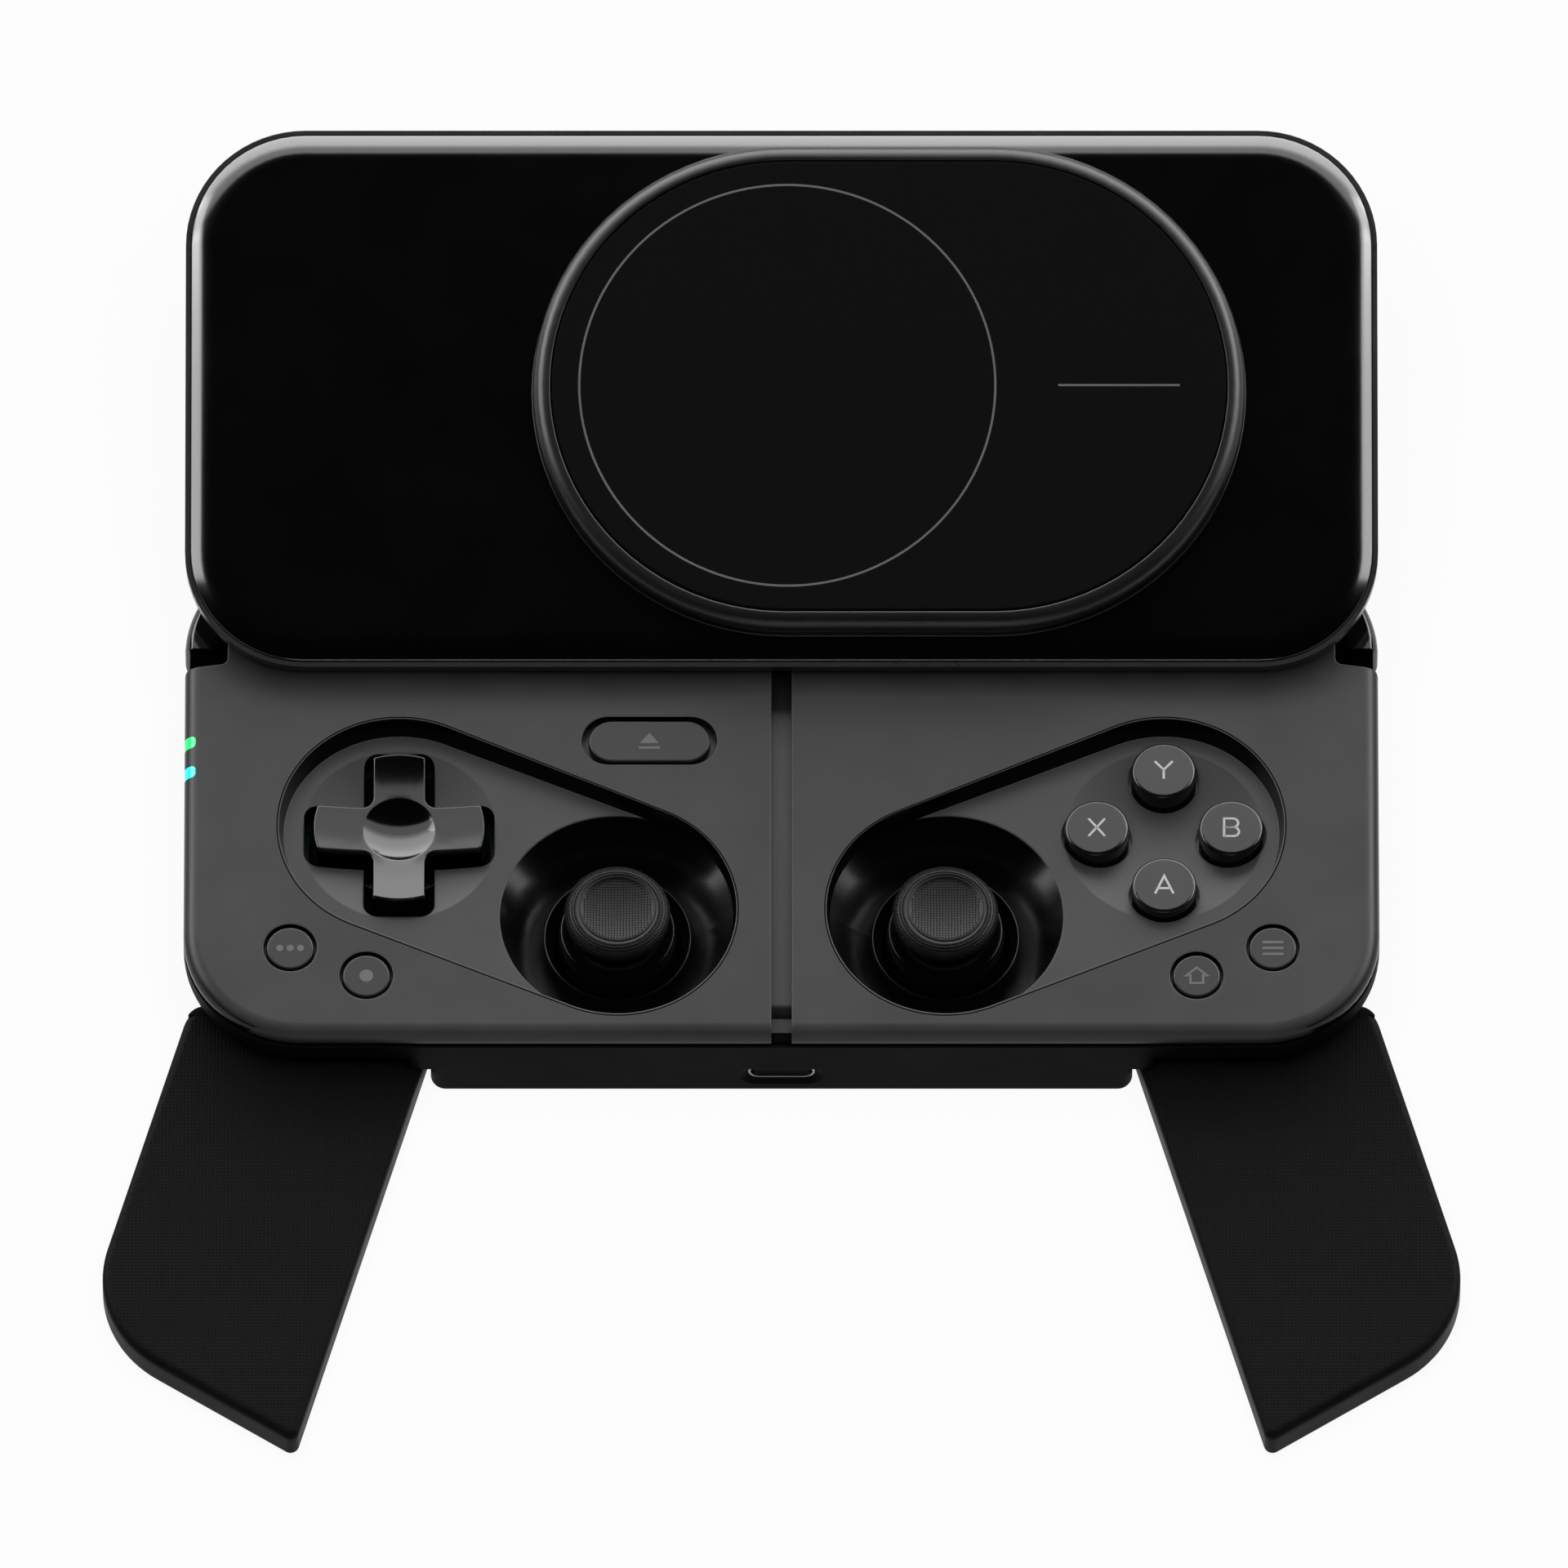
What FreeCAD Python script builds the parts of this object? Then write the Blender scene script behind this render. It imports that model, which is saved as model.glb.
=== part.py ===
import FreeCAD, Part

import math
import os

from FreeCAD import Placement, Rotation, Vector

os.makedirs("parts", exist_ok=True)

# A phone gamepad: a slab body with two inclined recesses, a lid that slides up and tilts, and two
# grips that flip out below. Millimetres, X to the right, Y away from the player, Z up. The origin is
# the centre of the back block's rear face, which the part rests on.

# Body
BODY_WIDTH = 160.0
BODY_DEPTH = 75.0
BODY_CORNER = 16.0
BLOCK_HEIGHT = 6.2
REAR_SHELL_HEIGHT = 6.15
SEAM_HEIGHT = 1.15
FRONT_SHELL_HEIGHT = 2.1
FACE_EDGE = 1.95
BACK_EDGE = 4.0
SKIN = 1.6
FLOOR = 1.0
SEAM_INSET = 0.45
SEAM_WIDTH = 1.15
LOWER_INSET = 3.2
LOWER_RISE = 1.4
FLAT_WALL_WIDTH = 100.0
TINY_ROUND = 0.1
SMALL_ROUND = 0.6
STEP_ROUND = 1.0
OVERLAP = 0.2

# Back block
BLOCK_WIDTH = 93.9
BLOCK_CORNER = 2.0
BLOCK_EDGE = 0.9
BLOCK_WALL = 1.5
BLOCK_SIDE_RELIEF = 0.5
BLOCK_CHEEK = 2.0
BLOCK_FLOOR = 1.2
HATCH_SIDE_INSET = 9.95
HATCH_INSET = 3.0

# Shoulder cut at the top corners, and the bumper in it
SHOULDER_LENGTH = 19.1
SHOULDER_SLOPE = 0.8
SHOULDER_STRIP = 5.75
SHOULDER_REACH = 42.0
SHOULDER_SHELF_RISE = 2.1
BUMPER_LENGTH = 15.9
BUMPER_THICKNESS = 4.3
BUMPER_GAP = 0.3
BUMPER_DROP = 0.25
BUMPER_PIVOT_INSET = 2.4
BUMPER_PIN_RADIUS = 0.9
BUMPER_PIN_LENGTH = 0.8
BUMPER_SWITCH_INSET = 26.0
BUMPER_SWITCH_LIFT = 4.1
BUMPER_SWITCH_HALF = 3.0
BUMPER_SWITCH_RISE = 1.1
BUMPER_SWITCH_REACH = 0.3
BUMPER_SWITCH_GAP = 0.15
SHOULDER_BOARD_HALF = 8.0
SHOULDER_BOARD_THICKNESS = 0.9
SHOULDER_BOARD_GAP = 0.1
SHOULDER_BOARD_TOP_GAP = 0.4

# Recesses, whose floor leans away from the face
PAD_X = 51.2
PAD_FRONT_INSET = 31.8
STICK_X = 21.95
STICK_DROP = 12.7
RECESS_TILT = 3.0
RECESS_DEPTH = 2.4
RECESS_RADIUS = 15.5
RECESS_DRAFT = 14.0
RECESS_SKIN = 1.2
DISH_RADIUS = 13.2
DISH_DEPTH = 1.6
DISH_SKIN = 1.0

# Stick wells and sticks, measured down from the recess floor
WELL_DEPTH = 5.65
WELL_MOUTH = 9.75
WELL_RIM = 15.85
WELL_SKIN = 1.1
STICK_PIVOT_DEPTH = 8.0
DOME_RADIUS = 8.68
DOME_SKIN = 0.8
DOME_END = 88.0
CAP_RADIUS = 7.1
CAP_TOP = 2.2
CAP_BOTTOM = -1.2
CAP_EDGE = 1.1
CAP_DISH_RADIUS = 4.95
CAP_DISH_DEPTH = 0.65
POST_RADIUS = 1.0
POST_FOOT = 2.6
POST_FLANGE = 2.2
POST_FLANGE_THICKNESS = 0.7
HOUSING_HALF = 5.0
HOUSING_WALL = 0.9
HOUSING_RISE = 0.8
HOUSING_DROP = 3.6
HOUSING_PLATE = 0.6
HOUSING_FOOT = 6.4
HOUSING_FOOT_CORNER = 2.0
PEDESTAL_MARGIN = 1.5
YOKE_HALF = 3.5
YOKE_WALL = 0.9
YOKE_PIN_ROOT = 0.3
GIMBAL_HALF_HEIGHT = 0.8
ROCKER_RADIUS = 2.1
TRUNNION_RADIUS = 0.8
ROCKER_PIN_RADIUS = 0.7
STICK_PLAY = 0.05

# Direction pad
DPAD_RADIUS = 11.75
DPAD_ARM = 7.5
DPAD_TOP = 2.3
DPAD_FALL = 1.0
DPAD_BOTTOM = -2.4
DPAD_INNER_CORNER = 1.3
DPAD_DRAFT = 0.35
DPAD_EDGE = 0.2
DPAD_GAP = 1.0
DPAD_HOLE_ROUND = 2.0
BOWL_RADIUS = 5.0
BOWL_DEPTH = 1.2
DPAD_FLANGE = 7.5
DPAD_FLANGE_TOP = -3.2
DPAD_FLANGE_THICKNESS = 0.5
DPAD_CORE = 3.3
PIVOT_RADIUS = 1.4
PIVOT_LENGTH = 1.15
PIVOT_GAP = 0.15

# Face buttons
BUTTON_OFFSET = 9.0
BUTTON_RADIUS = 4.3
BUTTON_TOP = 2.05
BUTTON_EDGE = 0.45
BUTTON_HOLE = 4.7
BUTTON_FLANGE = 5.1
BUTTON_FLANGE_THICKNESS = 0.5
BUTTON_FLANGE_GAP = 0.15

# Small keys
KEY_OUTER_X = 65.7
KEY_OUTER_DROP = 18.4
KEY_INNER_X = 55.5
KEY_INNER_DROP = 22.6
KEY_RADIUS = 3.15
KEY_GAP = 0.45
KEY_TOP_DROP = 0.1
KEY_EDGE = 0.25
KEY_FLANGE_OVERLAP = 0.5
KEY_FLANGE_THICKNESS = 0.5
KEY_FLANGE_GAP = 0.15
KEY_STEM_RADIUS = 1.2
EJECT_X = -17.7
EJECT_LIFT = 13.1
EJECT_LENGTH = 16.2
EJECT_WIDTH = 6.2
EJECT_HOLE_LENGTH = 18.2
EJECT_HOLE_WIDTH = 7.3

# Centre slot and its rail
SLOT_WIDTH = 2.75
SLOT_END_INSET = 1.1
TROUGH_HALF = 3.6
TROUGH_WALL = 1.2
TROUGH_FLOOR = 1.0
RAIL_DEPTH = 3.0
RAIL_THICKNESS = 0.8
RAIL_HALF = 3.4
RAIL_FRONT_INSET = 4.1
RAIL_END_GAP = 0.1

# Status lights on the left edge
LIGHT_LIFTS = (13.0, 8.5)
LIGHT_LENGTH = 1.75
LIGHT_REACH = 1.5

# Board, membranes, battery and screws
BOARD_THICKNESS = 0.7
BOARD_INSET = 3.6
BOARD_STICK_HOLE = 11.6
BOARD_BOSS_GAP = 0.3
MEMBRANE_THICKNESS = 0.25
PAD_MEMBRANE_RADIUS = 12.2
PAD_MEMBRANE_HOLE = 2.2
PAD_CONTACT_OFFSET = 9.9
PAD_CONTACT_RADIUS = 1.7
PAD_CONTACT_RISE = 1.3
BUTTON_MEMBRANE_RADIUS = 13.6
BUTTON_CONTACT_RADIUS = 2.0
BUTTON_CONTACT_RISE = 0.3
SWITCH_RADIUS = 1.8
SWITCH_HEIGHT = 0.6
SWITCH_GAP = 0.45
CHIP_X = 14.0
CHIP_LIFT = 17.7
CHIP_SIZE = 12.0
CHIP_HEIGHT = 1.1
RADIO_X = -10.0
RADIO_LIFT = 25.7
RADIO_SIZE = 8.0
RADIO_HEIGHT = 0.9
BATTERY_SIDE_INSET = 13.95
BATTERY_DEPTH = 31.0
BATTERY_HEIGHT = 4.7
BATTERY_BACK_INSET = 4.5
BATTERY_CORNER = 2.5
SCREW_SIDE_INSET = 5.95
SCREW_FRONT_INSET = 8.5
SCREW_BACK_INSET = 11.5
SCREW_RADIUS = 0.9
SCREW_CLEARANCE = 0.07
SCREW_HEAD_RADIUS = 2.0
SCREW_HEAD_HEIGHT = 1.1
SCREW_RECESS = 0.4
SCREW_SOCKET_RADIUS = 0.8
SCREW_SOCKET_DEPTH = 0.6
SCREW_TIP_DROP = 2.6
SCREW_TIP_GAP = 0.4
BOSS_RADIUS = 2.6
BLOCK_BOSS_RADIUS = 3.2

# Charging socket
SOCKET_WIDTH = 8.94
SOCKET_HEIGHT = 3.26
SOCKET_LENGTH = 7.35
SOCKET_SKIN = 0.3
SOCKET_Z = 4.45
SOCKET_SETBACK = 0.6
SOCKET_GAP = 0.06
TONGUE_WIDTH = 6.69
TONGUE_THICKNESS = 0.7
TONGUE_LENGTH = 4.45
MOUTH_WIDTH = 11.3
MOUTH_HEIGHT = 4.7
MOUTH_DEPTH = 0.5
SOCKET_LEG = 0.8
SOCKET_LEG_BACK = (1.0, 4.0)
SOCKET_BACK_WALL = 1.2
SOCKET_FLAT_HALF = 1.4

# Grips
GRIP_SPLAY = 16.5
GRIP_WIDTH = 32.5
GRIP_SHORTER = 12.8
GRIP_THICKNESS = 5.8
GRIP_PAD_THICKNESS = 1.4
GRIP_GROUND_GAP = 0.2
GRIP_END_SKEW = 15.8
GRIP_END_CORNER = 15.5
GRIP_ROOT_CORNER = 5.0
GRIP_TIP_CORNER = 1.2
GRIP_BLOCK_GAP = 0.65
GRIP_HINGE_INSET = 3.7
GRIP_EDGE = 1.1
GRIP_PIN_RADIUS = 1.0
GRIP_PIN_CLEARANCE = 0.06
GRIP_PIN_LENGTH = 30.0
GRIP_PIN_ANCHOR = 4.0
GRIP_EAR_OFFSET = 12.0
GRIP_EAR_LENGTH = 8.0
GRIP_EAR_RADIUS = 2.0
GRIP_EAR_GAP = 0.35
GRIP_NOTCH = 2.5
ANCHOR_WIDTH = 6.0
ANCHOR_SHIFT = 1.0
ANCHOR_TOP_GAP = 0.6

# Triggers
TRIGGER_HINGE_SHIFT = 0.975
TRIGGER_LINE_INSET = 4.03
TRIGGER_LEAN = 19.7
TRIGGER_HINGE_Z = 3.6
TRIGGER_PIN_RADIUS = 0.8
TRIGGER_PIN_CLEARANCE = 0.06
TRIGGER_BARREL_RADIUS = 2.2
TRIGGER_BARREL_HALF = 8.6
TRIGGER_EAR_THICKNESS = 1.8
TRIGGER_EAR_RADIUS = 1.9
TRIGGER_EAR_GAP = 0.3
TRIGGER_LIP_GAP = 0.6
TRIGGER_BOTTOM = 0.3
TRIGGER_TOP_GAP = 0.3
TRIGGER_TRAVEL = 10.0
TRIGGER_BLOCK_GAP = 1.65
TRIGGER_SIDE_INSET = 0.8
TRIGGER_OVERHANG = 1.5
TRIGGER_END_FLAT = 0.8
TRIGGER_SMALL_CORNER = 1.3
TRIGGER_SPRING_RADIUS = 1.6
TRIGGER_SPRING_HALF = 2.2
TRIGGER_SPRING_ROOM = 0.3
TRIGGER_SPRING_LEG = 0.5
TRIGGER_WEB_REACH = 1.5
TRIGGER_EDGE = 0.8

# Lid, in its own frame: up from its lower edge, and out from its underside
LID_SHORTER = 0.3
LID_GAP = 3.1
LID_TILT = 13.3
LID_KEPT_OVER = 20.8
LID_RIM_HEIGHT = 2.6
LID_HEIGHT = 4.0
LID_RIM_WIDTH = 0.65
LID_SEAM = 0.12
LID_POCKET_FLOOR = 2.3
LID_UNDER_EDGE = 0.5
LID_PLATE_EDGE = 1.3
LID_HINGE_INSET = 8.0
LID_HINGE_RISE = 1.3
LID_PIN_RADIUS = 0.8
LID_PIN_CLEARANCE = 0.05
LID_PIN_START = 22.0
LID_PIN_END = 39.0
LID_PIN_END_GAP = 0.2
LID_POCKET_START = 24.0
LID_KNUCKLE_START = 30.0
LID_KNUCKLE_LENGTH = 5.0
LID_KNUCKLE_RADIUS = 1.4
LID_KNUCKLE_GAP = 0.4
LID_SPRING_RADIUS = 1.25
LID_SPRING_BORE = 0.92
LID_SPRING_LENGTH = 5.2
LID_SPRING_LEG = 0.32
LID_POCKET_HALF = 2.3
LID_POCKET_TOP = 3.0

# Puck on the lid
PUCK_LENGTH = 95.6
PUCK_MARGIN = 3.6
PUCK_X = 14.4
PUCK_SHIFT = 0.35
PUCK_HEIGHT = 3.9
PUCK_EDGE = 0.9
PAD_INSET = 2.4
PAD_THICKNESS = 1.0
PAD_EDGE = 0.3
MAGNET_OUTER = 27.2
MAGNET_INNER = 23.4
MAGNET_HEIGHT = 1.6
MAGNET_X = 0.7
BAR_MAGNET_START = 37.2
BAR_MAGNET_LENGTH = 16.2
BAR_MAGNET_WIDTH = 5.0
MAGNET_GAP = 0.1

# Slider between the slot and the lid
CROSSBAR_HALF = 36.0
CROSSBAR_START = 3.5
CROSSBAR_END = 0.2
CARRIAGE_GAP = 1.0
CARRIAGE_THICKNESS = 0.9
STEM_HALF = 5.5
STEM_END = 10.5
KEEL_HALF = 1.0
KEEL_START = 1.5
FOOT_HALF = 3.2
FOOT_THICKNESS = 0.9
FOOT_GAP = 0.2

# Heights that follow
SEAM_BOTTOM = BLOCK_HEIGHT + REAR_SHELL_HEIGHT
SEAM_TOP = SEAM_BOTTOM + SEAM_HEIGHT
FACE = SEAM_TOP + FRONT_SHELL_HEIGHT
SKIN_UNDER = FACE - SKIN
FLOOR_TOP = BLOCK_HEIGHT + FLOOR
BOARD_TOP = FLOOR_TOP + BOARD_THICKNESS
RAIL_TOP = FACE - RAIL_DEPTH
SHOULDER_SHELF = BLOCK_HEIGHT + SHOULDER_SHELF_RISE
BUMPER_SWITCH_Z = BLOCK_HEIGHT + BUMPER_SWITCH_LIFT
GRIP_HINGE_Z = GRIP_GROUND_GAP + GRIP_THICKNESS / 2
LID_HINGE_Z = FACE + LID_GAP + LID_HINGE_RISE

# Places across the body that follow
HALF_WIDTH = BODY_WIDTH / 2
HALF_BLOCK = BLOCK_WIDTH / 2
HATCH_HALF = HALF_BLOCK - HATCH_SIDE_INSET
SHOULDER_INNER = HALF_WIDTH - SHOULDER_REACH
BUMPER_SWITCH_X = HALF_WIDTH - BUMPER_SWITCH_INSET
SCREW_X = HALF_BLOCK - SCREW_SIDE_INSET
BATTERY_HALF = HALF_BLOCK - BATTERY_SIDE_INSET
TRIGGER_HINGE_X = (HALF_BLOCK + HALF_WIDTH) / 2 - TRIGGER_HINGE_SHIFT
TRIGGER_INNER_X = HALF_BLOCK + TRIGGER_BLOCK_GAP
TRIGGER_OUTER_X = HALF_WIDTH - TRIGGER_SIDE_INSET

# Places along the body that follow
HALF_DEPTH = BODY_DEPTH / 2
HATCH_REACH = HALF_DEPTH - HATCH_INSET
SHOULDER_START = HALF_DEPTH - SHOULDER_LENGTH
BUMPER_START = HALF_DEPTH - BUMPER_LENGTH
PAD_Y = PAD_FRONT_INSET - HALF_DEPTH
STICK_Y = PAD_Y - STICK_DROP
KEY_OUTER_Y = PAD_Y - KEY_OUTER_DROP
KEY_INNER_Y = PAD_Y - KEY_INNER_DROP
EJECT_Y = PAD_Y + EJECT_LIFT
CHIP_Y = PAD_Y + CHIP_LIFT
RADIO_Y = PAD_Y + RADIO_LIFT
SLOT_TOP_END = HALF_DEPTH - SLOT_END_INSET
RAIL_START = RAIL_FRONT_INSET - HALF_DEPTH
BATTERY_END = HALF_DEPTH - BATTERY_BACK_INSET
GRIP_LENGTH = BODY_DEPTH - GRIP_SHORTER
GRIP_HINGE_Y = GRIP_HINGE_INSET - HALF_DEPTH
TRIGGER_SLOPE = math.tan(math.radians(TRIGGER_LEAN))
TRIGGER_LINE_Y = HALF_DEPTH - TRIGGER_LINE_INSET
TRIGGER_HINGE_Y = TRIGGER_LINE_Y - (TRIGGER_HINGE_X - HALF_BLOCK) * TRIGGER_SLOPE
TRIGGER_REACH_Y = HALF_DEPTH + TRIGGER_OVERHANG
LID_DEPTH = BODY_DEPTH - LID_SHORTER
LID_TRAVEL = BODY_DEPTH - LID_KEPT_OVER
LID_HINGE_Y = LID_HINGE_INSET + LID_TRAVEL - HALF_DEPTH
PUCK_WIDTH = LID_DEPTH - 2 * PUCK_MARGIN
PUCK_UP = LID_DEPTH / 2 + PUCK_SHIFT
BEYOND = 60.0


def box(x0, x1, y0, y1, z0, z1):
    return Part.makeBox(x1 - x0, y1 - y0, z1 - z0, Vector(x0, y0, z0))


def post(x, y, radius, z0, z1):
    return Part.makeCylinder(radius, z1 - z0, Vector(x, y, z0))


def rod(start, direction, radius, length):
    return Part.makeCylinder(radius, length, start, direction)


def outline(corners, z):
    """A closed wire through corners that are given as (x, y, radius)."""
    bends = []
    count = len(corners)
    for i in range(count):
        x, y, radius = corners[i]
        here = Vector(x, y, z)
        before = Vector(corners[i - 1][0], corners[i - 1][1], z)
        after = Vector(corners[(i + 1) % count][0], corners[(i + 1) % count][1], z)
        back = (before - here).normalize()
        on = (after - here).normalize()
        half = back.getAngle(on) / 2
        run = radius / math.tan(half)
        middle = (back + on).normalize()
        bow = here + middle * (radius / math.sin(half) - radius)
        bends.append((here + back * run, bow, here + on * run))
    edges = []
    for i in range(count):
        start, bow, end = bends[i]
        following = bends[(i + 1) % count][0]
        edges.append(Part.Arc(start, bow, end).toShape())
        if end.distanceToPoint(following) > 1e-6:
            edges.append(Part.LineSegment(end, following).toShape())
    return Part.Wire(edges)


def prism(corners, z0, z1, inset=0.0):
    face = Part.Face(outline(corners, z0))
    if inset:
        face = face.makeOffset2D(-inset)
    return face.extrude(Vector(0, 0, z1 - z0))


def rectangle(x0, x1, y0, y1, radius):
    return [(x0, y0, radius), (x1, y0, radius), (x1, y1, radius), (x0, y1, radius)]


def stadium(x, y, length, width, z0, z1):
    reach = (length - width) / 2
    middle = box(x - reach, x + reach, y - width / 2, y + width / 2, z0, z1)
    ends = [post(x + side * reach, y, width / 2, z0, z1) for side in (-1, 1)]
    return middle.fuse(ends).removeSplitter()


def edges_at(shape, z):
    """The edges of a shape that lie wholly at one height."""
    found = []
    for edge in shape.Edges:
        low = edge.BoundBox.ZMin
        high = edge.BoundBox.ZMax
        if abs(low - z) < 0.01 and abs(high - z) < 0.01:
            found.append(edge)
    return found


def round_edges_at(shape, z, radius):
    return shape.makeFillet(radius, edges_at(shape, z))


def mirrored(shape):
    return shape.mirror(Vector(0, 0, 0), Vector(1, 0, 0))


def both(shape):
    return [shape, mirrored(shape)]


def placed(shape, placement):
    moved = shape.copy()
    moved.Placement = placement.multiply(moved.Placement)
    return moved


def save(shape, node):
    shape.exportStep(os.path.join("parts", node + ".step"))


# Outlines and outer forms of the body


def body_corners():
    return rectangle(-HALF_WIDTH, HALF_WIDTH, -HALF_DEPTH, HALF_DEPTH, BODY_CORNER)


def trimmed_corners():
    """The body's outline without the strips that the bumpers fill."""
    inner_x = HALF_WIDTH - SHOULDER_STRIP
    inner_y = HALF_DEPTH - SHOULDER_STRIP
    bend = BODY_CORNER - SHOULDER_STRIP
    right = [
        (HALF_WIDTH, -HALF_DEPTH, BODY_CORNER),
        (HALF_WIDTH, SHOULDER_START, SMALL_ROUND),
        (inner_x, SHOULDER_START + SHOULDER_SLOPE, STEP_ROUND),
        (inner_x, inner_y, bend),
        (SHOULDER_INNER, inner_y, STEP_ROUND),
        (SHOULDER_INNER, HALF_DEPTH, SMALL_ROUND),
    ]
    left = [(-x, y, radius) for x, y, radius in reversed(right)]
    return right + left


def body_form():
    form = prism(body_corners(), BLOCK_HEIGHT, FACE)
    form = round_edges_at(form, FACE, FACE_EDGE)
    return round_edges_at(form, BLOCK_HEIGHT, BACK_EDGE)


def floor_height(y):
    """The height of the recess floor, which drops away from the player."""
    return FACE - RECESS_DEPTH - math.tan(math.radians(RECESS_TILT)) * (y - PAD_Y)


def on_floor(x, y):
    """A frame that stands on the recess floor over the plan point x, y."""
    turn = Rotation(Vector(1, 0, 0), -RECESS_TILT)
    return Placement(Vector(x, y, floor_height(y)), turn)


def obround_wire(radius, z):
    """The recess's outline in the pad's floor frame, from the pad to the stick."""
    dx = PAD_X - STICK_X
    dy = (STICK_Y - PAD_Y) / math.cos(math.radians(RECESS_TILT))
    length = math.hypot(dx, dy)
    along = Vector(dx / length, dy / length, 0)
    across = Vector(-along.y, along.x, 0)
    start = Vector(0, 0, z)
    end = Vector(dx, dy, z)
    a = start + across * radius
    b = start - across * radius
    c = end - across * radius
    d = end + across * radius
    edges = [
        Part.Arc(a, start - along * radius, b).toShape(),
        Part.LineSegment(b, c).toShape(),
        Part.Arc(c, end + along * radius, d).toShape(),
        Part.LineSegment(d, a).toShape(),
    ]
    return Part.Wire(edges)


def recess_cut():
    """The left recess above its floor, with drafted walls."""
    height = 2 * RECESS_DEPTH + SKIN
    spread = height * math.tan(math.radians(RECESS_DRAFT))
    wires = [obround_wire(RECESS_RADIUS, 0), obround_wire(RECESS_RADIUS + spread, height)]
    return placed(Part.makeLoft(wires, True, True), on_floor(-PAD_X, PAD_Y))


def recess_shell():
    """The material that lines the left recess, under the face."""
    lining = Part.Face(obround_wire(RECESS_RADIUS + SKIN, -RECESS_SKIN))
    lining = lining.extrude(Vector(0, 0, RECESS_SKIN + 2 * RECESS_DEPTH))
    lining = placed(lining, on_floor(-PAD_X, PAD_Y))
    dish = post(0, 0, DISH_RADIUS + DISH_SKIN, -DISH_DEPTH - DISH_SKIN, 0)
    dish = placed(dish, on_floor(-PAD_X, PAD_Y))
    well = Part.makeCone(
        WELL_MOUTH + WELL_SKIN, WELL_RIM + WELL_SKIN, WELL_DEPTH, Vector(0, 0, -WELL_DEPTH)
    )
    well = placed(well, on_floor(-STICK_X, STICK_Y))
    whole = lining.fuse([dish, well])
    under_face = box(-HALF_WIDTH, 0, -HALF_DEPTH, HALF_DEPTH, 0, FACE - SKIN / 2)
    return whole.common(under_face)


def dish_cut():
    """The concave dish in the recess floor at the pad's centre."""
    ball_radius = (DISH_RADIUS**2 + DISH_DEPTH**2) / (2 * DISH_DEPTH)
    ball = Part.makeSphere(ball_radius, Vector(0, 0, ball_radius - DISH_DEPTH))
    return ball.common(post(0, 0, DISH_RADIUS, -DISH_DEPTH - 1, 0.01))


def well_cut():
    cone = Part.makeCone(WELL_MOUTH, WELL_RIM, WELL_DEPTH, Vector(0, 0, -WELL_DEPTH))
    below = post(0, 0, WELL_MOUTH, -WELL_DEPTH - 2 * WELL_SKIN, -WELL_DEPTH)
    return placed(cone.fuse(below), on_floor(-STICK_X, STICK_Y))


def cross_wire(arm, reach, bend, end_bend, z):
    """The outline of a cross, at one height, with its inner and outer corners rounded."""
    corners = []
    for turn in range(4):
        c = math.cos(turn * math.pi / 2)
        s = math.sin(turn * math.pi / 2)
        corner = (arm, arm, bend)
        for x, y, radius in (corner, (arm, reach, end_bend), (-arm, reach, end_bend)):
            corners.append((x * c - y * s, x * s + y * c, radius))
    return outline(corners, z)


def dpad_hole():
    """The cross-shaped hole in the dish, wider than the pad all round."""
    low = -DISH_DEPTH - 2 * DISH_SKIN
    arm = DPAD_ARM / 2 + DPAD_GAP
    radius = DPAD_RADIUS + DPAD_GAP
    wire = cross_wire(arm, radius, OVERLAP, DPAD_HOLE_ROUND, low)
    return Part.Face(wire).extrude(Vector(0, 0, 1 - low))


def dpad_cross():
    """The pad's cross with arc ends, a little narrower at the top."""
    arm = DPAD_ARM / 2
    beyond = DPAD_RADIUS + 1
    low = DPAD_BOTTOM
    top_arm = arm - DPAD_DRAFT
    top_bend = DPAD_INNER_CORNER + DPAD_DRAFT
    wires = [
        cross_wire(arm, beyond, DPAD_INNER_CORNER, TINY_ROUND, low),
        cross_wire(top_arm, beyond, top_bend, TINY_ROUND, DPAD_TOP),
    ]
    height = DPAD_TOP - low
    ends = Part.makeCone(DPAD_RADIUS, DPAD_RADIUS - DPAD_DRAFT, height, Vector(0, 0, low))
    return Part.makeLoft(wires, True, True).common(ends)


def face_button_places():
    """Name and place of each face button from the cluster's centre."""
    return {
        "button_y": (0, BUTTON_OFFSET),
        "button_a": (0, -BUTTON_OFFSET),
        "button_x": (-BUTTON_OFFSET, 0),
        "button_b": (BUTTON_OFFSET, 0),
    }


def key_places():
    return {
        "key_more": (-KEY_OUTER_X, KEY_OUTER_Y),
        "key_record": (-KEY_INNER_X, KEY_INNER_Y),
        "key_home": (KEY_INNER_X, KEY_INNER_Y),
        "key_menu": (KEY_OUTER_X, KEY_OUTER_Y),
    }


def light_prism(y):
    x0 = -HALF_WIDTH - 2 * SMALL_ROUND
    x1 = -HALF_WIDTH + LIGHT_REACH
    half = LIGHT_LENGTH / 2
    corners = rectangle(x0, x1, y - half, y + half, SMALL_ROUND)
    return prism(corners, SEAM_TOP, FACE + 1)


def screw_places():
    rows = (SCREW_FRONT_INSET - HALF_DEPTH, HALF_DEPTH - SCREW_BACK_INSET)
    return [(side * SCREW_X, y) for side in (-1, 1) for y in rows]


def light_places():
    """How far along the left edge each status light lies."""
    return [PAD_Y + lift for lift in LIGHT_LIFTS]


# The four shells of the body


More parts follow.
